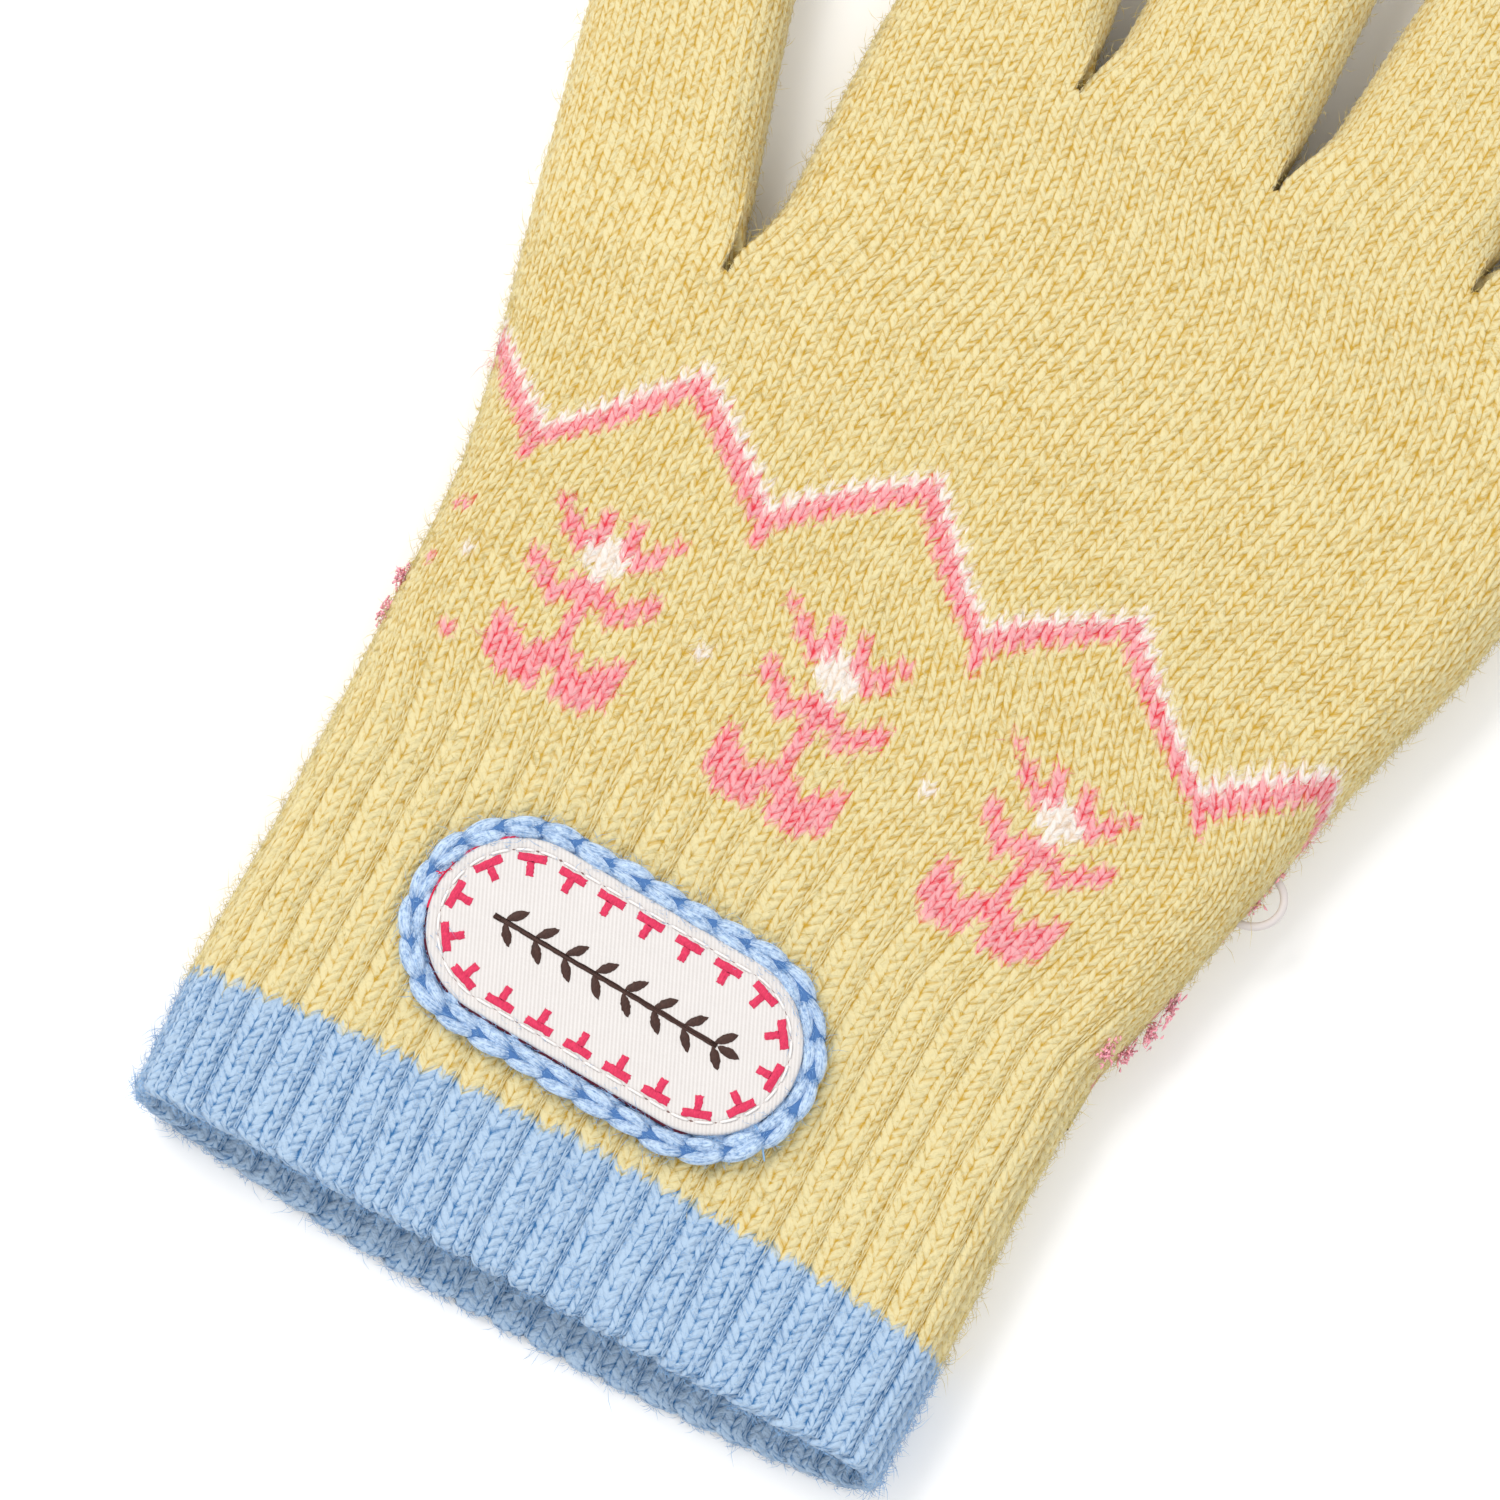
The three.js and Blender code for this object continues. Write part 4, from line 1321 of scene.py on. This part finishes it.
# %% Woven marks
MARK_COUNT = 20
MARK_INSET = 1.95
MARK_BAR = (2.9, 0.84)
MARK_STEM = (0.78, 1.5)
MARK_LAP = 0.1                 # how far bar and stem overlap
MARK_START = 0.42              # place of the first mark, as a share of the step to the next
SIDE_POINTS, LEAF_POINTS, STEM_POINTS = 7, 12, 40
PLATE_HEIGHT = 0.07
PLATE_FOOT, PLATE_WALL = 0.12, 0.03            # how deep a plate starts, how high it stands upright
LID_SHARE = 0.94               # size of its lid
SPRIG_HALF = 13.6
SPRIG_PAIRS = 8
SPRIG_STEM = 0.5
SPRIG_ENDS = (1.2, 2.4)        # bare stem before the first pair and after the last
LEAF, TIP_LEAF, TIP_AT = (2.5, 0.95), (2.6, 1.0), 2.0  # length and breadth; place of the tip's
LEAF_ASIDE = 0.15
LEAF_TURN = math.radians(48)


def rectangle(width, height, points_each):
    """Outline of a rectangle about its middle, counter-clockwise, with points along each side."""
    share = np.arange(points_each) / points_each
    sides = [np.stack([share - 0.5, np.full(points_each, -0.5)], -1),
             np.stack([np.full(points_each, 0.5), share - 0.5], -1),
             np.stack([0.5 - share, np.full(points_each, 0.5)], -1),
             np.stack([np.full(points_each, -0.5), 0.5 - share], -1)]
    return np.concatenate(sides) * (width, height)


def leaf(length, width, points_each):
    """Outline of a pointed leaf along x from 0: its half width goes with sin(pi x) to the 0.8."""
    share = np.linspace(0, 1, points_each, endpoint=False)
    half = width / 2 * np.sin(math.pi * share) ** 0.8
    lower = np.stack([share * length, -half], -1)
    upper = np.stack([(1 - share) * length, half], -1)
    return np.concatenate([lower, upper])


def plates(name, outlines, top, roughness, seed):
    """Thin plates on the label: each outline at the cloth, again inset above it, and a lid."""
    random = np.random.default_rng(seed)
    count, length = outlines.shape[:2]
    outlines = outlines + random.standard_normal(outlines.shape) * roughness
    middle = outlines.mean(axis=1, keepdims=True)
    upper = middle + (outlines - middle) * LID_SHARE
    levels = np.array([top - PLATE_FOOT, top + PLATE_WALL, top + PLATE_HEIGHT])
    rings = np.stack([outlines, outlines, upper], axis=1)
    points = on_label(raised(rings, levels[None, :, None, None]))
    offsets = np.arange(count)[:, None] * 3 * length
    here = np.arange(length)
    bands = round_faces(np.arange(2), np.arange(1, 3), length)
    polygons = (offsets[..., None] + bands).reshape(-1, 4).tolist()
    lids = offsets + 2 * length + here
    floors = offsets + here[::-1]
    polygons += lids.tolist() + floors.tolist()
    made = mesh_object(name, points.reshape(-1, 3), polygons)
    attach(made, "root")
    return made


def turned(outline, direction, at):
    """Outlines with their x axis laid along each direction and moved to each place."""
    along = direction[:, None, :]
    side = np.stack([-along[..., 1], along[..., 0]], -1)
    return at[:, None, :] + outline[None, :, :1] * along + outline[None, :, 1:] * side


print("a plate stands", PLATE_HEIGHT, "mm proud")

# %% [markdown]
# Woven marks follow the label's edge at equal steps, but no two are quite alike. Each shape is
# drawn once and laid down as often as it is needed, and a little chance in its outline does what
# the loom does.

# %% Placing the marks and the sprig
mark_radius = LABEL_RADIUS - MARK_INSET
mark_pitch = oval_length(mark_radius) / MARK_COUNT
mark_turns = oval_run((np.arange(MARK_COUNT) + MARK_START) * mark_pitch, mark_radius)
mark_at, mark_out = oval(mark_turns, mark_radius)
bars = turned(rectangle(*MARK_BAR, SIDE_POINTS), edgewise(mark_out), mark_at)
stem_at = mark_at - mark_out * (MARK_BAR[1] / 2 + MARK_STEM[1] / 2 - MARK_LAP)
stems = turned(rectangle(*MARK_STEM, SIDE_POINTS), edgewise(mark_out), stem_at)
marks = plates("label_marks", np.concatenate([bars, stems]), LABEL_TOP, roughness=0.035, seed=1)
pair_x = np.linspace(-SPRIG_HALF + SPRIG_ENDS[0], SPRIG_HALF - SPRIG_ENDS[1], SPRIG_PAIRS)
leaf_at = np.concatenate([np.stack([pair_x, np.full(SPRIG_PAIRS, aside)], -1)
                          for aside in (LEAF_ASIDE, -LEAF_ASIDE)])
leaf_way = np.repeat([[math.cos(LEAF_TURN), math.sin(LEAF_TURN)],
                      [math.cos(LEAF_TURN), -math.sin(LEAF_TURN)]], SPRIG_PAIRS, axis=0)
leaves = turned(leaf(*LEAF, LEAF_POINTS), leaf_way, leaf_at)
tip_leaf = turned(leaf(*TIP_LEAF, LEAF_POINTS), np.array([[1.0, 0.0]]),
                  np.array([[SPRIG_HALF - TIP_AT, 0.0]]))
sprig = plates("label_leaves", np.concatenate([leaves, tip_leaf]), LABEL_TOP, roughness=0.03,
               seed=2)
stem_outline = rectangle(2 * SPRIG_HALF - TIP_AT, SPRIG_STEM, STEM_POINTS) - (TIP_AT / 2, 0.0)
stem = plates("label_stem", stem_outline[None], LABEL_TOP, roughness=0.03, seed=3)
print("marks", MARK_COUNT, "leaves", 2 * SPRIG_PAIRS + 1)

# %% [markdown]
# Woven colour isn't flat: lighter and deeper threads lie side by side. A noise that is finer in
# one direction than in the other gives that without a thread in the mesh.

# %% Woven colour
def woven(name, deep, pale):
    """Woven colour: fine threads across, between a deep and a pale shade."""
    finish = Finish(name, {"Roughness": 0.6, "Specular IOR Level": 0.3})
    threads = finish.noise(finish.place(7000, 3000, 1000), 2.0)
    finish.feed("Base Color", finish.mixed(finish.clamped(threads * 1.6 - 0.3), deep, pale))
    finish.feed("Normal", finish.bumped(threads, 0.5, 0.0001))
    return finish.material


marks.data.materials.append(woven("woven_red", (0.44, 0.012, 0.055, 1), (0.76, 0.04, 0.12, 1)))
brown = woven("woven_brown", (0.028, 0.011, 0.008, 1), (0.070, 0.028, 0.020, 1))
sprig.data.materials.append(brown)
stem.data.materials.append(brown)
print("woven colours on", marks.name, sprig.name, stem.name)

# %% [markdown]
# Round the label runs a crochet chain in soft blue yarn. Seen from above, each link is a V: two
# plump strands that start together inside the link before, part, and dive under the link after.
# A second, lower chain under the label's edge and a plain cord fill its heart.

# %% The crochet chain
CHAIN_RADIUS = LABEL_RADIUS + 1.35
CHAIN_LINKS = 28
CHAIN_LAP = 1.35               # length of a strand, in links
CHAIN_POINTS = 14
CHAIN_SHIFT = -0.25            # the chain sits a little nearer the rim than the label
CHAIN_MIDDLE = 11.5
CHAIN_SPREAD = 0.60            # how far a strand parts from the chain's middle line
CHAIN_STRAND, STRAND_SPREAD = 0.68, 0.08       # radius of a strand and how much it varies
CHAIN_SIDES = 10
CHAIN_WIDEST = 0.72            # share of its length where a strand is farthest out
CHAIN_APART = 0.03             # half the distance of the two strands where a link starts
CHAIN_ARCH, CHAIN_LOW, CHAIN_DIVE = 0.5, 0.35, 0.5     # of its height: wave, start and last dive
CHAIN_JITTER = (0.07, 0.07, 0.04)
LOWER_INSET, LOWER_DROP, LOWER_SPREAD = 1.3, 0.45, 0.5 # how the lower chain differs
HEART_COLUMNS = 120
HEART_SIZE, HEART_MIDDLE = (0.9, 0.7), 11.2


def chain_paths(radius, middle, spread):
    """Centre lines of a chain's strands.

    With s the share of its length, a strand parts by the spread times the sine of a quarter turn
    up to its widest place, and closes by half of that again. Its height is half a wave, less the
    fourth power of s for the dive.
    """
    share = np.linspace(0, 1, CHAIN_POINTS)
    pitch = oval_length(radius) / CHAIN_LINKS
    run = (np.arange(CHAIN_LINKS)[:, None] + CHAIN_LAP * share) * pitch
    at, out = oval(oval_run(run, radius), radius)
    closing = np.clip((share - CHAIN_WIDEST) / (1 - CHAIN_WIDEST), 0, 1)
    part = np.sin(math.pi / 2 * np.clip(share / CHAIN_WIDEST, 0, 1)) - 0.5 * closing ** 2
    lift = CHAIN_ARCH * np.sin(math.pi * share) - CHAIN_LOW - CHAIN_DIVE * share ** 4
    paths = []
    for hand in (-1, 1):
        flat = at + out * (hand * (CHAIN_APART + spread * part))[None, :, None]
        paths.append(raised(flat, middle + lift[None, :, None]))
    return on_label(np.concatenate(paths) + (0, CHAIN_SHIFT, 0))


chain_random = np.random.default_rng(7)
chain_lines = np.concatenate([
    chain_paths(CHAIN_RADIUS, CHAIN_MIDDLE, CHAIN_SPREAD),
    chain_paths(CHAIN_RADIUS - LOWER_INSET, CHAIN_MIDDLE - LOWER_DROP, LOWER_SPREAD)])
chain_lines += chain_random.standard_normal((len(chain_lines), 1, 3)) * CHAIN_JITTER
chain_swell = CHAIN_STRAND * np.sin(math.pi * np.linspace(0.07, 0.93, CHAIN_POINTS)) ** 0.55
chain_radii = chain_random.standard_normal((len(chain_lines), 1))
chain_radii = chain_swell * (1 + STRAND_SPREAD * chain_radii)
blue_yarn = np.tile(YARNS[BLUE], (len(chain_lines), 1))
chain = strands("label_chain", chain_lines, chain_radii, CHAIN_SIDES, blue_yarn)


def heart_cord():
    """A closed ring of cord under the chain: circles carried once round the oval."""
    at, out = oval(oval_turns(CHAIN_RADIUS, HEART_COLUMNS), CHAIN_RADIUS)
    angle = np.arange(CHAIN_SIDES) * 2 * math.pi / CHAIN_SIDES
    flat = at[:, None] + out[:, None] * (HEART_SIZE[0] * np.cos(angle))[None, :, None]
    height = HEART_MIDDLE + HEART_SIZE[1] * np.sin(angle)[None, :, None]
    grid = on_label(raised(flat, height) + (0, CHAIN_SHIFT, 0))
    rows, columns = grid.shape[:2]
    row = np.arange(rows)
    faces = round_faces(row, (row + 1) % rows, columns)[:, [0, 3, 2, 1]]
    return mesh_object("label_chain_heart", grid.reshape(-1, 3), faces.tolist())


heart = heart_cord()
print("chain links", CHAIN_LINKS, "triangles", triangles(chain) + triangles(heart))

# %% [markdown]
# The chain's yarn is soft and loosely spun. Pale fibres run along each strand over a deeper blue,
# and a strand is painted darkest where it leaves the link before: painted shade under that link.
# `strands` stores how far along and how far round each point lies, so the streaks can follow the
# yarn, and a noise on the object's own coordinates adds the fuzz.

# %% The chain's wool
CHAIN_PALE = (*linear(199, 220, 243), 1)
CHAIN_DEEP = (*linear(92, 134, 188), 1)
# the heart cord's blue: the chain's yarn inside the links, painted deeper for the shade there
CHAIN_HEART_SHADE = (*linear(70, 106, 158), 1)
CHAIN_HAIR_CONTRAST, CHAIN_STREAK_CONTRAST = 2.0, 2.7
CHAIN_LIGHT, START_SHADE = 0.79, 0.9           # the strand's own lightness, less a painted shade at its start


def chain_wool():
    """Soft blue yarn: streaks along each strand, and painted shade where it leaves the link before.
    """
    finish = Finish("chain_wool", {"Roughness": 0.95, "Specular IOR Level": 0.08,
                                   "Sheen Weight": 0.25, "Sheen Roughness": 0.5,
                                   "Sheen Tint": (1, 1, 1, 1)})
    along = finish.attribute("along")["Fac"]
    around = finish.attribute("around")["Fac"]
    hairs = finish.noise(finish.place(2200), 3.0, 0.6)
    streaks = finish.noise(finish.vector(along * 4, around * 4 + along * 2), 2.5, 0.65)
    # Painted shade at the start of each strand, under the link before.
    start = (1 - along % 2.0 * 4).at_least(0.0)
    share = (hairs - 0.5) * CHAIN_HAIR_CONTRAST + (streaks - 0.5) * CHAIN_STREAK_CONTRAST
    share = finish.clamped(share + CHAIN_LIGHT - start * START_SHADE)
    finish.feed("Base Color", finish.mixed(share, CHAIN_DEEP, CHAIN_PALE))
    finish.feed("Normal", finish.bumped(streaks + hairs * 0.6, 0.8, 0.0004))
    return finish.material


chain.data.materials.append(chain_wool())
# The heart cord is painted a deeper blue than the chain: painted shade inside its links.
heart_finish = Finish("chain_heart", {"Roughness": 0.95, "Specular IOR Level": 0.05})
heart_hairs = heart_finish.noise(heart_finish.place(2500), 3.0)
heart_finish.feed("Base Color", heart_finish.mixed(heart_hairs * 0.6, CHAIN_HEART_SHADE, CHAIN_DEEP))
heart.data.materials.append(heart_finish.material)
for piece in (chain, heart):
    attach(piece, "root")
    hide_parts("label_braid")
print("wool on", chain.name, heart.name)

# %% [markdown]
# The label is sewn down with white thread: short stitches on top with small holes between. Each
# stitch is a strand that dips into the cloth at both ends, because a line drawn on the cloth would
# catch no light.

# %% Sewing thread
STITCH_HALF = 0.43             # half a stitch, as a share of the step to the next
STITCH_LIFT, STITCH_DIP = 0.03, 0.25           # over the cloth in its middle, lower at its ends
SEAM_THREAD, SEAM_SIDES = 0.14, 6
seam_radius = LABEL_RADIUS - SEAM_INSET
seam_pitch = oval_length(seam_radius) / SEAM_STITCHES
seam_share = np.linspace(-STITCH_HALF, STITCH_HALF, 8)
seam_run = (np.arange(SEAM_STITCHES)[:, None] + 0.5 + seam_share) * seam_pitch
seam_at, _ = oval(oval_run(seam_run, seam_radius), seam_radius)
seam_height = LABEL_TOP + STITCH_LIFT - STITCH_DIP * (seam_share / STITCH_HALF) ** 4
seam_lines = on_label(raised(seam_at, seam_height[None, :, None]))
seam_radii = np.full(seam_lines.shape[:2], SEAM_THREAD)
seam = strands("label_seam", seam_lines, seam_radii, SEAM_SIDES,
               np.tile(YARNS[WHITE], (SEAM_STITCHES, 1)))
thread = Finish("sewing_thread", {"Roughness": 0.6, "Base Color": (0.80, 0.77, 0.75, 1)})
seam.data.materials.append(thread.material)
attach(seam, "root")
hole_at, hole_out = oval(oval_run(np.arange(SEAM_STITCHES) * seam_pitch, seam_radius), seam_radius)
HOLE = (0.42, 0.24)
hole_outlines = turned(leaf(*HOLE, 5) - (HOLE[0] / 2, 0), edgewise(hole_out), hole_at)
# The needle holes are dark plates: painted shade in the pits the thread goes through.
holes = plates("label_holes", hole_outlines, LABEL_TOP - SEAM_DEPTH, roughness=0.01, seed=4)
holes.data.materials.append(Finish("needle_hole", {"Base Color": (0.19, 0.11, 0.10, 1),
                                                   "Roughness": 0.9}).material)
print("sewing stitches", SEAM_STITCHES)

# %% [markdown]
# The red thread of the woven marks runs on at the label's back, where it shows as a thin line at
# the left and the lower edge, and a few of its ends hang out. All of them are strands: one along
# the edge, painted a deeper red for the shade under the label's edge, a brighter one where it comes
# forward, and six short bent ones.

# %% The red back
RED = np.array(linear(214, 40, 74))
# The red thread painted darker along the label's lower edge: painted shade under that edge.
RED_IN_SHADE = np.array(linear(84, 30, 44))
LINING_RADIUS = 0.18
LINING_OUT, LINING_DROP = 0.06, 0.55           # out from the label's edge, under its top
RED_IN_SHADE_SPAN, RED_SPAN = (1.9, 3.45), (3.40, 3.86)      # of the oval's own scale of 0 to 4
LINING_POINTS = 60
THREADS = 6
THREAD_SPAN = (3.47, 0.12)     # where the loose threads leave the label, and over how much of it
THREAD_RADIUS, THREAD_LENGTH = 0.06, 0.55
THREAD_SPREAD, THREAD_BEND = 0.9, 0.3
THREAD_DROP, THREAD_ARCH = 0.35, 0.7


def lining_path(span):
    """A line at the label's lower edge, between two places on the oval's own scale of 0 to 4."""
    at, _ = oval(np.linspace(*span, LINING_POINTS), LABEL_RADIUS + LINING_OUT)
    return on_label(raised(at, LABEL_TOP - LINING_DROP))


lining_lines = np.stack([lining_path(RED_IN_SHADE_SPAN), lining_path(RED_SPAN)])
lining_radii = np.full(lining_lines.shape[:2], LINING_RADIUS)
lining = strands("label_lining", lining_lines, lining_radii, 8, np.stack([RED_IN_SHADE, RED]))
thread_random = np.random.default_rng(31)
thread_turns = THREAD_SPAN[0] + THREAD_SPAN[1] * thread_random.random(THREADS)
thread_at, thread_out = oval(thread_turns, LABEL_RADIUS)
thread_share = np.linspace(0, 1, 7)[None, :, None]
thread_way = thread_out[:, None] + THREAD_SPREAD * thread_random.standard_normal((THREADS, 1, 2))
thread_bend = thread_random.standard_normal((THREADS, 1, 2)) * thread_share ** 2
thread_flat = (thread_at[:, None] + THREAD_LENGTH * thread_way * thread_share
               + THREAD_BEND * thread_bend)
thread_height = LABEL_TOP - THREAD_DROP + THREAD_ARCH * np.sin(2.6 * thread_share)
thread_lines = on_label(raised(thread_flat, thread_height))
red_threads = strands("label_threads", thread_lines,
                      np.full(thread_lines.shape[:2], THREAD_RADIUS), 5,
                      np.tile(RED, (THREADS, 1)))


def plain_yarn(name):
    """The strand's own colour, matt."""
    finish = Finish(name, {"Roughness": 0.9, "Specular IOR Level": 0.1})
    finish.feed("Base Color", finish.attribute("yarn")["Color"])
    return finish.material


strand_finish = plain_yarn("strand")
for piece in (lining, red_threads):
    piece.data.materials.append(strand_finish)
    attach(piece, "root")
print("loose red threads", THREADS)

# %% [markdown]
# In such a knit the idle yarns are carried along the inside, and their ends work out at the
# folds. Only the ends are made: pink tufts at both edges, a loop of white at the right one, and
# the chain's own end below the label. They are small, but an edge without them looks cut out.

# %% Stray ends
TUFT_PLACES = np.array([[45.0, 55.0, 5.6], [44.3, 51.8, 5.4], [43.1, 48.6, 5.6], [41.3, 47.6, 8.4],
                        [48.0, 71.4, 6.2], [47.4, 68.0, 6.0], [-42.3, 57.2, 6.6],
                        [-42.1, 53.6, 6.4]])
TUFT_HAIRS = 60
TUFT_RADIUS = 0.13
TUFT_START = (0.30, 0.60, 0.45)                # spread of the hairs' roots,
TUFT_WAY = (0.22, 0.36, 0.30)                  # and of each of their two pieces
# The tufts' pink is painted lighter than the knit's pink yarn: painted light against the shade at
# the folds.
TUFT_LIT_PINK = (0.93, 0.42, 0.50)
LOOP_MIDDLE, LOOP_SIZE = (46.9, 68.2, 6.0), (3.2, 2.9, 0.8)
# the last of these: the loop's white yarn is painted greyer by that share, a painted shade
LOOP_TURN, LOOP_RADIUS, LOOP_SHADE = 1.75, 0.42, 0.85
END_START, END_WAY, END_WAVE = (14.0, 24.9, 11.7), (3.1, 2.4, 0.5), 0.5
END_RADIUS, END_TAPER = 0.2, 0.12
END_POINTS = 26
tuft_random = np.random.default_rng(41)
tuft_count = len(TUFT_PLACES) * TUFT_HAIRS
tuft_start = np.repeat(TUFT_PLACES, TUFT_HAIRS, axis=0)
tuft_start = tuft_start + tuft_random.standard_normal((tuft_count, 3)) * TUFT_START
tuft_way = tuft_random.standard_normal((tuft_count, 2, 3)) * TUFT_WAY
tuft_lines = np.stack([tuft_start, tuft_start + tuft_way[:, 0],
                       tuft_start + tuft_way[:, 0] + tuft_way[:, 1]], axis=1)
tufts = strands("stray_tufts", tuft_lines, np.full((tuft_count, 3), TUFT_RADIUS), 4,
                np.tile(TUFT_LIT_PINK, (tuft_count, 1)))
loop_turn = np.linspace(-LOOP_TURN, LOOP_TURN, END_POINTS)
loop_line = np.stack([LOOP_MIDDLE[0] + LOOP_SIZE[0] * np.cos(loop_turn),
                      LOOP_MIDDLE[1] + LOOP_SIZE[1] * np.sin(loop_turn),
                      LOOP_MIDDLE[2] + LOOP_SIZE[2] * np.cos(loop_turn * 0.8)], -1)
end_share = np.linspace(0, 1, END_POINTS)
end_line = np.stack([
    END_START[0] + END_WAY[0] * end_share,
    END_START[1] - END_WAY[1] * end_share + END_WAVE * np.sin(4 * end_share),
    END_START[2] - END_WAY[2] * end_share], -1)
end_radii = np.stack([np.full(END_POINTS, LOOP_RADIUS), END_RADIUS - END_TAPER * end_share])
ends = strands("stray_ends", np.stack([loop_line, end_line]), end_radii, 8,
               np.stack([YARNS[WHITE] * LOOP_SHADE, YARNS[BLUE]]))
for piece in (tufts, ends):
    piece.data.materials.append(strand_finish)
    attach(piece, "root")
print("stray hairs", tuft_count)

# %% [markdown]
# Wool is hairy, and without its hairs a knit looks like plastic. Fine loose hairs leave the legs,
# most of them lying almost flat, and at the outline they stand out as a soft haze. Each is a
# closed sliver of six triangles, a little paler than the yarn it leaves.

# %% Loose hairs
HAIR_COUNT = 26000
HAIR_RADIUS = 0.027
CHAIN_HAIRS = 6000
FOLD_HAIRS = 6.0               # how much denser they stand where the knit turns down
UNDER_HAIRS = 0.08             # and how thin underneath
ROOT_SPREAD = 0.3              # how far a root strays, in steps of a wale and a course
HAIR_LENGTH, LENGTH_SPREAD = 1.05, 0.4         # in mm, and the spread of its logarithm
LOW_HAIRS = 2.2                # the greater, the more of the hairs lie flat
HAIR_ROOT, HAIR_LIFT = 0.12, 0.08              # how deep a hair starts, how high it comes at least
FIRST_SHARE, LAST_SHARE = 0.5, 0.55            # its two pieces, as shares of its length,
FIRST_RISE, LAST_RISE, LAST_FALL = 0.5, 0.35, 0.04     # and how they rise and fall again
HAIR_BEND = 0.9
HAIR_PALER = 1.06
FLOOR_GAP = 0.08               # a hair's middle line stays that far above the table


def hair_roots(bed, count, seed):
    """Places, outward and sideways directions and colours for hairs, spread by area."""
    points, out, across, along, yarn = bed
    random = np.random.default_rng(seed)
    area = np.linalg.norm(np.cross(across, along), axis=-1)
    weight = np.where(out[..., 2] > 0.5, 1.0, np.where(out[..., 2] > -0.4, FOLD_HAIRS, UNDER_HAIRS))
    columns = np.abs(np.roll(points, -1, axis=1) - points).sum(axis=-1)
    weight = area * weight * np.clip(columns / columns.mean(), 0, 4)
    chosen = random.choice(weight.size, count, p=weight.ravel() / weight.sum())
    spot, out, across, along, yarn = (layer.reshape(-1, 3)[chosen]
                                      for layer in (points, out, across, along, yarn))
    spot = spot + (random.random((count, 1)) - 0.5) * across * ROOT_SPREAD
    spot = spot + (random.random((count, 1)) - 0.5) * along * ROOT_SPREAD
    return spot, out, across, yarn


def hairs(name, bed, count, seed):
    """Hairs from one bed: each leaves at a low angle, bends once and ends in a fine tip."""
    random = np.random.default_rng(seed + 1)
    spot, out, across, yarn = hair_roots(bed, count, seed)
    across = across / np.maximum(np.linalg.norm(across, axis=-1, keepdims=True), TINY)
    side = np.cross(out, across)
    angle = random.random((count, 1)) * 2 * math.pi
    flat = np.cos(angle) * across + np.sin(angle) * side
    rise = random.random((count, 1)) ** LOW_HAIRS
    length = np.exp(random.standard_normal((count, 1)) * LENGTH_SPREAD) * HAIR_LENGTH
    bent = flat + HAIR_BEND * (random.random((count, 1)) - 0.5) * np.cross(out, flat)
    first = spot - out * HAIR_ROOT
    middle = spot + flat * length * FIRST_SHARE + out * (HAIR_LIFT + FIRST_RISE * rise * length)
    last = middle + bent * length * LAST_SHARE + out * (LAST_RISE * rise * length - LAST_FALL)
    paths = np.stack([first, middle, last], axis=1)
    paths[..., 2] = np.maximum(paths[..., 2], FLOOR_GAP)
    radii = np.full((count, 3), HAIR_RADIUS)
    return strands(name, paths, radii, 3, np.minimum(yarn * HAIR_PALER, 1))


def chain_bed():
    """Where hairs may grow on the chain: the top of each strand, turned a little to each side."""
    turn = np.linspace(-1.2, 1.2, 5)[None, :, None]
    ahead = np.gradient(chain_lines, axis=1).reshape(-1, 1, 3)
    ahead = ahead / np.linalg.norm(ahead, axis=-1, keepdims=True)
    aside = np.cross(ahead, (0.0, 0.0, 1.0))
    out = np.sin(turn) * aside + np.cos(turn) * np.cross(aside, ahead)
    points = chain_lines.reshape(-1, 1, 3) + out * chain_radii.reshape(-1, 1, 1)
    ahead = np.broadcast_to(ahead, out.shape)
    return points, out, np.cross(ahead, out), ahead, np.broadcast_to(YARNS[BLUE], out.shape)


print("places for hairs on the chain", chain_lines.shape[0] * CHAIN_POINTS)

# %% [markdown]
# The hairs could be spread evenly, but wool isn't equally rough all over. A piece gets its share
# by its area and by a weight of its own: the blue band is the hairiest, and the fingers, which the
# picture doesn't show, get the fewest.

# %% Hairs on every piece
knits = [cuff_knit, *hand_knits]
DIGIT_HAIRS = 0.45             # share of hairs on a finger, where 1 is the palm's
hair_weight = {"cuff_band_knit": 1.9, "wrist_knit": 1.2, "flower_knit": 1.1, "palm_knit": 1.0,
               "knuckle_knit": 0.9}
areas = [np.linalg.norm(np.cross(np.diff(bed[0], axis=0)[:, :-1], np.diff(bed[0], axis=1)[:-1]),
                        axis=-1).sum() for bed in hair_beds]
bed_share = np.array([hair_weight.get(piece.name, DIGIT_HAIRS) for piece in knits]) * areas
hair_counts = (HAIR_COUNT * bed_share / bed_share.sum()).astype(int)
for piece, bed, count, seed in zip(knits, hair_beds, hair_counts, range(100, 200)):
    fuzz = hairs(piece.name.replace("knit", "hairs"), bed, int(count), seed)
    fuzz.data.materials.append(strand_finish)
    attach(fuzz, "root")
chain_fuzz = hairs("label_chain_hairs", chain_bed(), CHAIN_HAIRS, 77)
chain_fuzz.data.materials.append(strand_finish)
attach(chain_fuzz, "root")
print("hairs", int(hair_counts.sum()) + CHAIN_HAIRS)

# %% [markdown]
# Last come the counts of triangles of every mesh made here.

# %% The sizes at the end
made_triangles = {item.name: triangles(item) for item in bpy.data.objects
                  if item.type == "MESH" and item.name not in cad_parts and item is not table}
print("triangles", made_triangles, sum(made_triangles.values()))
